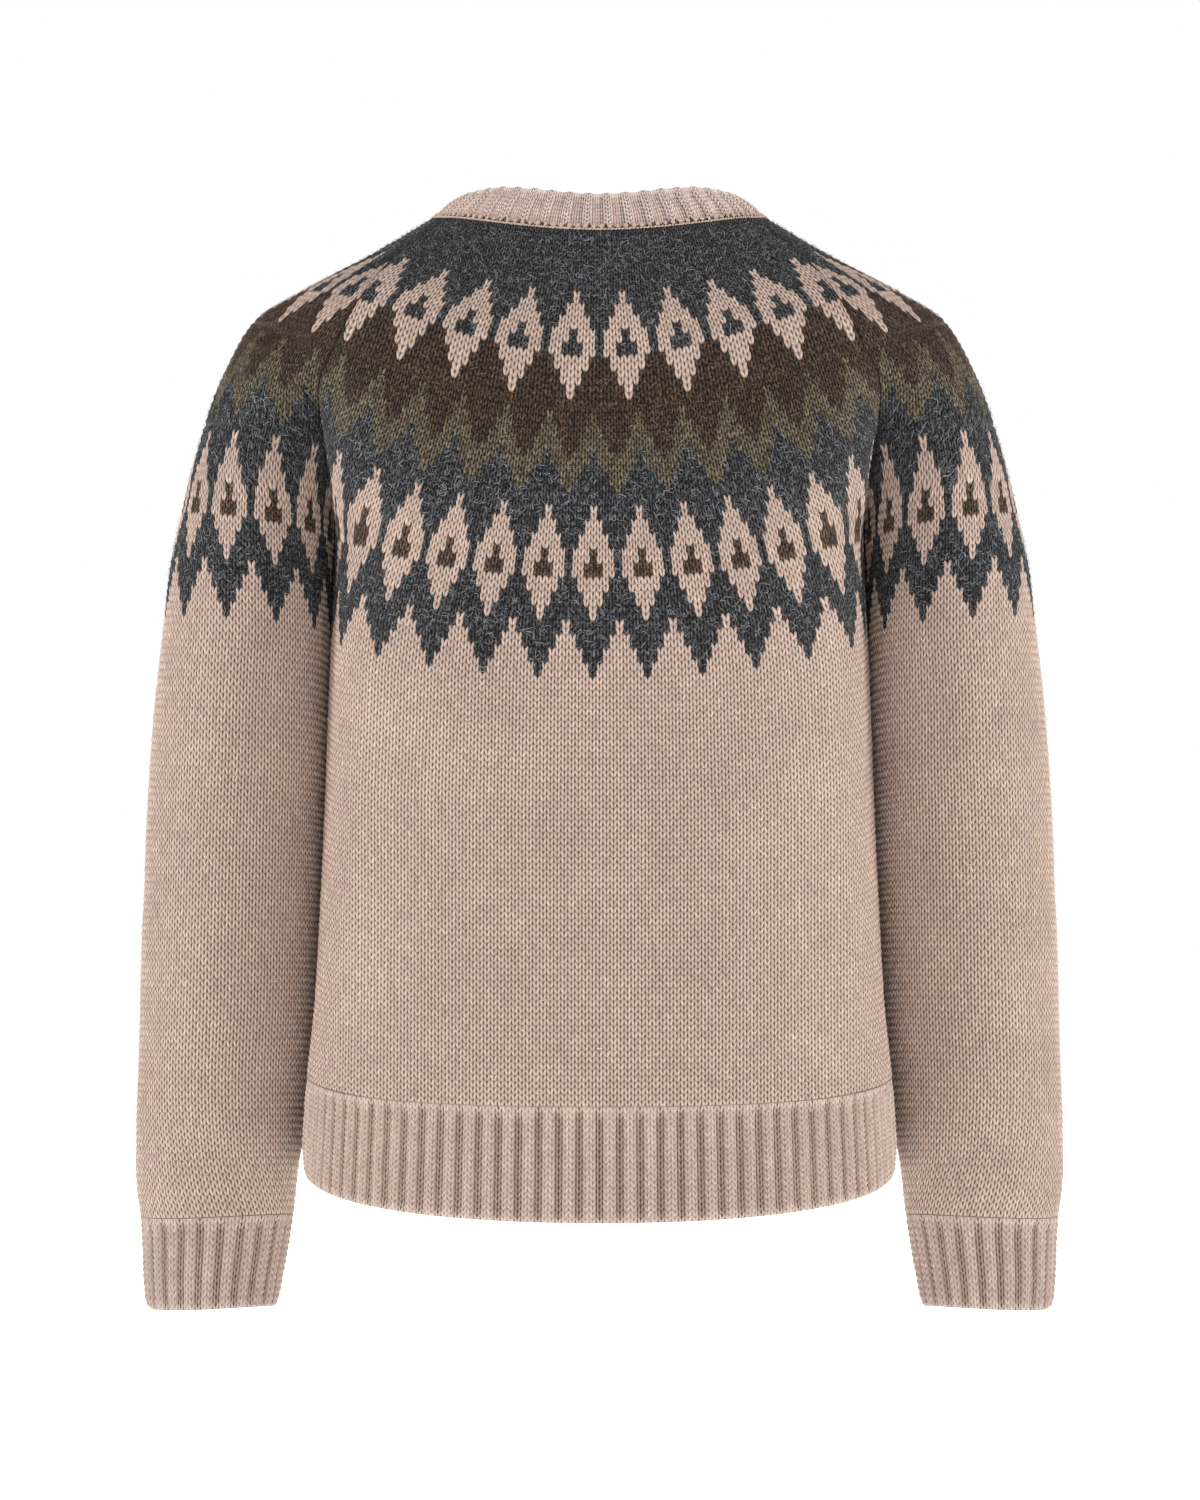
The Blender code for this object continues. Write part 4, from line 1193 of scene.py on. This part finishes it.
def panel(name, skin, row_table, wale_tables, share_at, rise, limits, wale_range, lower_middle, material,
          mirror=False, inner_columns=40):
    """A patterned panel: three grids of stitches with a round of increases between them."""
    rows_known, down_known = (np.array(column, dtype=float) for column in zip(*row_table))
    cloth = Cloth(skin, down_known[0], down_known[-1])

    def row_at(level):
        return np.interp(level, rows_known, down_known)

    last = int(rows_known[-1])
    zones = []
    fibres = ([], [], [])
    spans = [(0, FIRST_INCREASE), (FIRST_INCREASE, SECOND_INCREASE), (SECOND_INCREASE, last)]
    for number, (start, end) in enumerate(spans):
        rows = np.arange(start, end + 1, dtype=float)
        rows[0] += ROW_GAP if number else 0.0
        width_table = np.array(wale_tables[number])

        def wale_width(down, widths=width_table):
            return np.interp(down, widths[:, 0], widths[:, 1])

        low_wale, high_wale = wale_range(row_at(rows), wale_width)
        wales = np.arange(2 * low_wale, 2 * high_wale + 1) / 2

        def locate(level, wale, width=wale_width):
            down = row_at(level)
            down = down - rise(wale * width(down), down)
            return down, share_at(wale * width(down), down)

        zones.append(knit_zone(cloth, locate, limits, rows, wales, panel_look(lower_middle)))
        count = int((rows[-1] - rows[0]) * (wales[-1] - wales[0]) * MOST_FIBRES)
        level = RANDOM.uniform(rows[0], rows[-1], count)
        wale = RANDOM.uniform(wales[0], wales[-1], count)
        down, share = locate(level, wale)
        low, high = limits(down)
        margin = FIBRE_LENGTH[1] / length_at(skin, down)
        yarn = chart(np.floor(wale + 0.5), np.floor(level), lower_middle)
        kept = (share > low + margin) & (share < high - margin) & (down > down_known[0] + FIBRE_LENGTH[1])
        kept &= down < down_known[-1] - FIBRE_LENGTH[1]
        kept &= RANDOM.uniform(0, MOST_FIBRES, count) < FIBRES[yarn]
        pale = RANDOM.uniform(*FIBRE_RANGE, int(kept.sum()))
        for values, new in zip(fibres, (down[kept], share[kept], FIBRE_TONES[yarn[kept]] * pale[:, None])):
            values.append(new)
    close_cloth(cloth, zones, limits, lambda share, down: WALL + 0 * share, ground, inner_columns, 60)
    loose_fibres(name.replace("_knit", "_fibres"), skin, *(np.concatenate(values) for values in fibres),
                 fibre_material(), mirror)
    return finish_cloth(name, cloth, material, mirror)


def body_rise(across, down):
    """How far the body's rows rise away from its middle."""
    return np.interp(down, *zip(*BODY_RISE)) * np.minimum(np.abs(across) / RISE_AT, 1.0)**2


def make_back(material):
    """The back panel. Its wales are counted from the centre back."""
    skin = surface(back_rings, 0.0, RIB_TOP, folds="back", touching=BACK_TOUCH)
    places, shares = even_shares(skin, 0.5, STRETCH)

    def share_at(distance, down):
        return share_along(skin, places, shares, distance, down)

    def limits(down):
        gap = HALF_GAP / length_at(skin, down)
        return gap, 1 - gap

    def wale_range(down, width):
        most = int(np.ceil(np.max(0.5 * length_at(skin, down) / width(down)))) + 1
        return -most, most

    made = panel("back_knit", skin, BODY_ROWS, WALES, share_at, body_rise, limits, wale_range, BODY_MIDDLE,
                 material)
    place(made, "knit_yoke", "back")


def make_front(side, band_edge, material):
    """A front panel. Its wales are counted from the centre front."""
    skin = surface(front_rings, 0.0, RIB_TOP, outward=-1.0, folds="front", touching=FRONT_TOUCH)

    def share_at(distance, down):
        return distance / length_at(skin, down)

    def limits(down):
        length = length_at(skin, down)
        return (band_edge + HALF_GAP) / length, 1 - HALF_GAP / length

    def wale_range(down, width):
        low = int(np.floor(np.min(band_edge / width(down)))) - 1
        most = int(np.ceil(np.max(length_at(skin, down) / width(down)))) + 1
        return low, most

    made = panel("front_%s_knit" % side, skin, BODY_ROWS, WALES, share_at, body_rise, limits, wale_range,
                 BODY_MIDDLE, material, mirror=side == "left", inner_columns=24)
    place(made, "knit_yoke", "front_" + side)


def make_sleeve(side, material):
    """A sleeve. Its wales are counted from the outer line."""
    skin = surface(sleeve_rings, 0.0, CUFF_TOP, folds="sleeve", touching=SLEEVE_TOUCH)
    back_length = row_lengths(sleeve_half(skin["down"], BACK_SEAM, False))

    def outer_share(down):
        return np.interp(down, skin["down"], back_length) / length_at(skin, down)

    def share_at(distance, down):
        return outer_share(down) + distance / length_at(skin, down)

    def limits(down):
        gap = np.where(down < UNDERARM, HALF_GAP, 0.0) / length_at(skin, down)
        return gap, 1 - gap

    def wale_range(down, width):
        most = int(np.ceil(np.max(SLEEVE_HALF * length_at(skin, down) / width(down)))) + 1
        return -most, most

    def rise(across, down):
        return np.interp(down, *zip(*SLEEVE_RISE)) + 0.0 * across

    made = panel("sleeve_%s_knit" % side, skin, SLEEVE_ROWS, SLEEVE_WALES, share_at, rise, limits, wale_range,
                 SLEEVE_MIDDLE, material, mirror=side == "left")
    place(made, "knit_yoke", "sleeve_" + side)


# The tone passed in is painted light and shade for each piece: lighter on the collar, darker on the cuffs
def rib_look(knit_wales, purl_wales, first, last, ends_up, purl_shade, yarn_and_light_tone, sunk=RIB_SUNK, scallop=0.0):
    """Heights and colours of a rib: some knit wales stand up and some purl wales sink between them. Scallop
    is how much further up the knit wales reach, in rows."""
    period = knit_wales + purl_wales
    starts = RANDOM.uniform(*RIB_STARTS, 3 * BACK_HEM_RIBS)

    def is_purl(wale):
        return (wale - 0.5 * purl_wales) % period >= knit_wales

    def swell(wale):
        at = (wale - 0.5 * purl_wales) % period
        return np.where(at < knit_wales, np.sin(math.pi * np.clip(at / knit_wales, 0, 1))**0.5, 0.0)

    def fade(wale, down):
        if ends_up:
            return np.clip((down - first - RIB_MARGIN) / RIB_FADE, 0, 1)
        start = starts[np.asarray(wale / period).astype(int) % len(starts)]
        fade_in = np.clip((down - first - start) / RIB_FADE, 0, 1)
        return np.clip((last - down - RIB_MARGIN) / RIB_FADE, 0, 1) * fade_in

    def base(wale, down):
        profile = -sunk + (sunk + RIB_RAISED) * swell(wale)
        still = fade(wale, down)
        if ends_up:
            return profile * still - SEAM_SINK * (1 - still)
        rolled = np.clip(1 - (last - down) / RIB_FADE, 0, 1)
        return profile * still - END_ROLL * (1 - np.sqrt(1 - rolled**2))

    def height(knit, purl):
        def at(wale, down):
            shown = PLAIN_DETAIL + (1 - PLAIN_DETAIL) * fade(wale, down)
            return base(wale, down) + np.where(is_purl(wale), purl, knit) * shown
        return at

    def tone(stitch, row):
        plain = np.zeros(stitch.shape + (3,))
        plain[:] = BEIGE
        down = first + (last - first) * (row + 0.5) / (row.max() + 1.0)
        sunk_in = (is_purl(stitch) * fade(stitch, down))[..., None]
        # Painted shade in the sunk purl wales
        shade = yarn_and_light_tone * (1 + (np.array(purl_shade) - 1) * sunk_in)
        # Painted shadow on the collar's last row, behind the linking loops
        if ends_up:
            shade = np.where((row == row.max())[..., None], LINK_SHADE, shade)
        return plain * shade * RANDOM.normal(1.0, RIB_UNEVEN, stitch.shape)[..., None], np.zeros(stitch.shape)

    flat_purl = purl_wales > 1
    knit_holes, purl_holes = (COLLAR_HOLES, WIDE_HOLES) if flat_purl else (RIB_HOLES, NARROW_HOLES)
    return {
        "slant": lambda wale: np.where(flat_purl & (is_purl(wale) | is_purl(wale - 0.01)), 0.0, 1.0),
        "holes": lambda stitch: np.where(is_purl(stitch), purl_holes, knit_holes),
        "tone": tone,
        "scallop": lambda wales: scallop * (0.5 - swell(wales)),
        **{name: height(*pair) for name, pair in RIB_HEIGHTS.items()},
    }


def rib_piece(name, skin, first, last, row_height, wale_count, start, end, look, material, mirror=False):
    """A ribbed piece with a whole number of wales from its one edge to the other."""
    cloth = Cloth(skin, first, last)
    row_count = max(3, round((last - first) / row_height))

    def row_at(level):
        return first + (last - first) * level / row_count

    def limits(down):
        length = length_at(skin, down)
        return start / length, 1 - end / length

    def locate(level, wale):
        down = row_at(level)
        low, high = limits(down)
        return down, low + (high - low) * wale / wale_count

    wales = np.arange(2 * wale_count + 1) / 2
    rows = np.arange(row_count + 1, dtype=float)
    zone = knit_zone(cloth, locate, limits, rows, wales, look)
    beige = np.array(BEIGE)
    close_cloth(cloth, [zone], limits, lambda share, down: WALL + 0 * share,
                lambda down: np.broadcast_to(beige, np.shape(down) + (3,)), max(4, wale_count // 3 + 1), 6)
    return finish_cloth(name, cloth, material, mirror)


def make_hem(material):
    """The ribbed hem, in a back piece and two front pieces."""
    first = RIB_TOP + HALF_GAP
    skin = surface(back_rings, first, HEM_END, touching=BACK_TOUCH)
    look = rib_look(2, 1, first, HEM_END, False, NARROW_PURL, RIB_TONE)
    made = rib_piece("hem_back_rib", skin, first, HEM_END, HEM_ROW, 3 * BACK_HEM_RIBS, HALF_GAP, HALF_GAP,
                     look, material)
    place(made, "knit_rib", "hem_back")
    skin = surface(front_rings, first, HEM_END, outward=-1.0, touching=FRONT_TOUCH)
    for side, band_edge in (("right", BAND_HALF), ("left", BAND_UNDER_EDGE)):
        made = rib_piece("hem_front_%s_rib" % side, skin, first, HEM_END, HEM_ROW, 3 * FRONT_HEM_RIBS,
                         band_edge + HALF_GAP, HALF_GAP, look, material, mirror=side == "left")
        place(made, "knit_rib", "hem_front_" + side)


def make_cuffs(material):
    """The ribbed cuffs."""
    first = CUFF_TOP + HALF_GAP
    skin = surface(sleeve_rings, first, CUFF_END)
    look = rib_look(2, 1, first, CUFF_END, False, NARROW_PURL, CUFF_TONE)
    for side in ("right", "left"):
        made = rib_piece("cuff_%s_rib" % side, skin, first, CUFF_END, CUFF_ROW, 3 * CUFF_RIBS, 0.0, 0.0, look,
                         material, mirror=side == "left")
        place(made, "knit_rib", "cuff_" + side)


def neck_line(count):
    """Places along the neck seam's collar side from one band to the other: points, directions and facings."""
    curve = collar_rings(np.array([LINK_DOWN]))
    above = collar_rings(np.array([LINK_DOWN - 1.0]))
    length = row_lengths(curve)[0]
    shares = np.linspace((BAND_UNDER_EDGE + LINK_MARGIN) / length, 1 - (BAND_HALF + LINK_MARGIN) / length,
                         count)
    middle = spread(curve, shares)[0]
    along = np.gradient(middle, axis=0)
    along /= np.linalg.norm(along, axis=1)[:, None]
    up = spread(above, shares)[0] - middle
    facing = np.cross(along, up)
    facing /= np.linalg.norm(facing, axis=1)[:, None]
    up = np.cross(facing, along)
    return middle, along, up, facing, length * (shares[-1] - shares[0])


def bead_mesh(middles, along, across, facing, lengths, widths, heights):
    """Small beads, pointed at both ends, as vertices and triangles."""
    sides = BEAD_SIDES
    vertices = []
    for place_along, size in BEAD_PROFILE:
        for side in range(1 if size == 0.0 else sides):
            angle = 2 * math.pi * side / sides
            vertices.append(middles + along * (place_along * lengths)[:, None]
                            + across * (0.5 * size * math.cos(angle) * widths)[:, None]
                            + facing * (0.5 * size * math.sin(angle) * heights)[:, None])
    vertices = np.stack(vertices, axis=1)
    faces = []
    for side in range(sides):
        after = (side + 1) % sides
        faces.append((0, 1 + after, 1 + side))
        for ring in range(2):
            base = 1 + ring * sides
            faces.append((base + side, base + after, base + sides + after))
            faces.append((base + side, base + sides + after, base + sides + side))
        base = 1 + 2 * sides
        faces.append((base + side, base + after, 1 + 3 * sides))
    count = len(middles)
    numbers = np.arange(count)[:, None, None] * vertices.shape[1] + np.array(faces)[None]
    return vertices.reshape(-1, 3), numbers.reshape(-1, 3)


def make_linking(material):
    """The collar's linking: a row of upright loops with slots between them, over a thin chain. The slots'
    dark is painted shadow on the collar's last row.
    """
    middle, along, up, facing, length = neck_line(400)
    parts = []
    for pitch, lift, rise, tall, wide, thick, lean, upright in LINKS:
        count = int(length / pitch)
        at = np.linspace(0, len(middle) - 1, count)
        uneven = RANDOM.normal(0.0, LINK_UNEVEN, count)

        def pick(values):
            known = np.arange(len(values))
            return np.stack([np.interp(at, known, values[:, axis]) for axis in range(3)], axis=1)

        forward, upward, outward = pick(along), pick(up), pick(facing)
        centre = pick(middle) + outward * lift + upward * (rise + uneven[:, None])
        main, side = (upward, forward) if upright else (forward, upward)
        main = main + side * (lean + uneven[:, None])
        sizes = [size * (1 + 2 * uneven) for size in (tall, wide, thick)]
        parts.append(bead_mesh(centre, main, side, outward, *sizes))
    shift = len(parts[0][0])
    vertices = np.concatenate([part[0] for part in parts])
    faces = np.concatenate([parts[0][1], parts[1][1] + shift])
    made = mesh_object("neck_linking", vertices, faces, material)
    made.data.shade_smooth()
    place(made, "knit_rib")


def make_collar(material):
    """The ribbed neckband."""
    last = HALF_GAP - NECK_GAP
    skin = surface(collar_rings, -COLLAR_HEIGHT - SCALLOP, last, step=COLLAR_STEP)
    look = rib_look(2, 2, -COLLAR_HEIGHT, last, True, WIDE_PURL, COLLAR_TONE, sunk=COLLAR_SUNK,
                    scallop=SCALLOP / COLLAR_ROW)
    made = rib_piece("collar_rib", skin, -COLLAR_HEIGHT, last, COLLAR_ROW, 4 * COLLAR_RIBS,
                     BAND_UNDER_EDGE + HALF_GAP, BAND_HALF + HALF_GAP, look, material)
    place(made, "knit_rib", "collar")


def over_lift(across):
    """The buttonhole band lies on the button band and comes down to its own front panel."""
    t = np.clip((BAND_HALF - across) / (BAND_HALF - BAND_STEP), 0, 1)
    return BAND_LIFT * t * t * (3 - 2 * t)


def make_band(name, node, start, end, lift_of, ribs, material):
    """A ribbed band down the front opening."""
    down = np.linspace(-COLLAR_HEIGHT, HEM_END, 360)
    across = np.linspace(start, end, 41)
    half = 0.5 * row_lengths(opening_rings(down))
    middle, facing, _ = grid_of(opening_rings, down, 0.5 + 0.5 * across[None] / half[:, None], -1.0)
    skin = {"down": down, "points": middle + facing * lift_of(across)[None, :, None], "facing": facing,
            "length": np.full(len(down), end - start), "outward": -1.0}
    look = rib_look(2, 1, -COLLAR_HEIGHT - 20, HEM_END + 20, False, NARROW_PURL, RIB_TONE)
    made = rib_piece(name, skin, -COLLAR_HEIGHT, HEM_END, BAND_ROW, 3 * ribs, 0.0, 0.0, look, material)
    place(made, "knit_rib", node)


def make_bands(material):
    """The button band on the wearer's left, and the buttonhole band over it."""
    make_band("button_band_rib", "button_band", -BAND_UNDER_EDGE, BAND_UNDER_END,
              lambda across: 0 * across, 2, material)
    make_band("buttonhole_band_rib", "buttonhole_band", -BAND_HALF, BAND_HALF, over_lift, 3, material)


def button_frame(number):
    """A solid button's back middle and its directions sideways, upward and outward, in millimetres."""
    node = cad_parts["button_%d" % number]
    flat = np.empty(3 * len(node.data.vertices))
    node.data.vertices.foreach_get("co", flat)
    matrix = np.array(node.matrix_world)
    places = (flat.reshape(-1, 3) @ matrix[:3, :3].T + matrix[:3, 3]) / METRES
    outward = np.linalg.svd(places - places.mean(axis=0), full_matrices=False)[2][2]
    outward = outward * np.sign(outward[1])
    sideways = np.cross(outward, [0.0, 0.0, 1.0])
    sideways /= np.linalg.norm(sideways)
    axes = np.array([sideways, np.cross(sideways, outward), outward])
    along = places @ axes.T
    middle = 0.5 * (along.min(axis=0) + along.max(axis=0))
    middle[2] = along[:, 2].min()
    return middle @ axes, axes


def turned_mesh(profile, sides):
    """A solid turned round the third axis from its profile of radius and height, closed at both ends."""
    turn = 2 * math.pi * np.arange(sides) / sides
    rings = [np.stack([radius * np.cos(turn), radius * np.sin(turn), np.full(sides, height)], axis=1)
             for radius, height in profile]
    shaped = bmesh.new()
    made = [[shaped.verts.new(place_at) for place_at in ring] for ring in rings]
    for lower, upper in zip(made[:-1], made[1:]):
        for side in range(sides):
            after = (side + 1) % sides
            shaped.faces.new((lower[side], lower[after], upper[after], upper[side]))
    shaped.faces.new(made[0][::-1])
    shaped.faces.new(made[-1])
    mesh = bpy.data.meshes.new("turned")
    shaped.to_mesh(mesh)
    shaped.free()
    return mesh


def button_shape():
    """A turned button with a rim and four holes right through it."""
    solid = bpy.data.objects.new("button_blank", turned_mesh(BUTTON_PROFILE, BUTTON_SIDES))
    bpy.context.collection.objects.link(solid)
    drills = []
    for x, y in BUTTON_HOLES:
        drill = bpy.data.objects.new("drill", turned_mesh(DRILL, DRILL_SIDES))
        drill.location = (x, y, 0.0)
        bpy.context.collection.objects.link(drill)
        cut = solid.modifiers.new("hole", "BOOLEAN")
        cut.operation = "DIFFERENCE"
        cut.object = drill
        drills.append(drill)
    bpy.context.view_layer.update()
    ready = solid.evaluated_get(bpy.context.evaluated_depsgraph_get())
    mesh = bpy.data.meshes.new_from_object(ready)
    for extra in drills + [solid]:
        bpy.data.objects.remove(extra, do_unlink=True)
    return mesh


def make_buttons(thread_material):
    """The buttons in place of the solid ones, and the threads that hold them."""
    shape = button_shape()
    horn = horn_material()
    vertices = np.empty(3 * len(shape.vertices))
    shape.vertices.foreach_get("co", vertices)
    vertices = vertices.reshape(-1, 3)
    frames = [button_frame(number) for number in range(1, BUTTON_COUNT + 1)]
    for number, (middle, axes) in enumerate(frames, start=1):
        mesh = shape.copy()
        mesh.vertices.foreach_set("co", ((vertices @ axes + middle) * METRES).astype(np.float32).ravel())
        mesh.materials.clear()
        mesh.materials.append(horn)
        mesh.update()
        made = bpy.data.objects.new("button_%d_horn" % number, mesh)
        bpy.context.collection.objects.link(made)
        made.data.shade_smooth()
        place(made, "button", "button_%d" % number)
    middles = np.array([middle + axes[2] * THREAD_LIFT + axes[1] * side * BUTTON_HOLES[0][1]
                        for middle, axes in frames for side in (-1, 1)])
    directions = np.array([axes for _, axes in frames for _ in (-1, 1)])
    count = len(middles)
    sizes = [np.full(count, size) for size in (THREAD_LENGTH, THREAD_WIDTH, THREAD_WIDTH)]
    threads = bead_mesh(middles, directions[:, 0], directions[:, 1], directions[:, 2], *sizes)
    made = mesh_object("button_threads", *threads, thread_material)
    made.data.shade_smooth()
    place(made, "knit_rib")


def make_camera():
    """The photograph's viewpoint."""
    data = bpy.data.cameras.new("camera")
    data.sensor_fit = "AUTO"
    data.sensor_width = SENSOR
    data.lens = SENSOR * -CAMERA_PLACE[1] / FRAME_HEIGHT
    camera = bpy.data.objects.new("camera", data)
    camera.location = CAMERA_PLACE
    camera.rotation_euler = (math.radians(90), 0, 0)
    bpy.context.collection.objects.link(camera)
    bpy.context.scene.camera = camera


def area_light(name, place_at, size, power):
    """A white soft box that faces the garment."""
    data = bpy.data.lights.new(name, "AREA")
    data.shape = "RECTANGLE"
    data.size = size[0]
    data.size_y = size[1]
    data.energy = power
    light = bpy.data.objects.new(name, data)
    light.location = place_at
    direction = Vector(LIGHT_TARGET) - Vector(place_at)
    light.rotation_euler = direction.to_track_quat("-Z", "Y").to_euler()
    bpy.context.collection.objects.link(light)


def make_stage():
    """A white studio: pale floor, even white surroundings and soft boxes."""
    scene = bpy.context.scene
    scene.view_settings.view_transform = "Standard"
    world = bpy.data.worlds.new("studio")
    world.use_nodes = True
    tree = world.node_tree
    sky = tree.nodes["Background"]
    sky.inputs["Color"].default_value = (1.0, 1.0, 1.0, 1.0)
    rays = tree.nodes.new("ShaderNodeLightPath")
    strength = tree.nodes.new("ShaderNodeMapRange")
    strength.inputs["To Min"].default_value = SKY_LIGHT
    strength.inputs["To Max"].default_value = 1.0
    tree.links.new(rays.outputs["Is Camera Ray"], strength.inputs["Value"])
    tree.links.new(strength.outputs["Result"], sky.inputs["Strength"])
    scene.world = world
    floor_mesh = bpy.data.meshes.new("floor")
    shaped = bmesh.new()
    bmesh.ops.create_grid(shaped, x_segments=1, y_segments=1, size=6.0)
    shaped.to_mesh(floor_mesh)
    shaped.free()
    floor = bpy.data.objects.new("floor", floor_mesh)
    floor.location = (0, 0, CAD_BOX[0][2] - FLOOR_DROP)
    white = Graph("floor_white", Roughness=0.9, **{
        "Base Color": (0.9, 0.9, 0.9, 1.0), "Emission Color": (1.0, 1.0, 1.0, 1.0),
        "Emission Strength": FLOOR_GLOW})
    floor_mesh.materials.append(white.material)
    bpy.context.collection.objects.link(floor)
    for box in SOFT_BOXES:
        area_light(*box)



make_camera()
make_stage()
wool = knit_material()
make_back(wool)
make_front("right", BAND_HALF, wool)
make_front("left", BAND_UNDER_EDGE, wool)
make_sleeve("right", wool)
make_sleeve("left", wool)
make_hem(wool)
make_cuffs(wool)
make_collar(wool)
linking_yarn = linking_material()
make_linking(linking_yarn)
make_bands(wool)
make_buttons(linking_yarn)

bpy.context.view_layer.update()
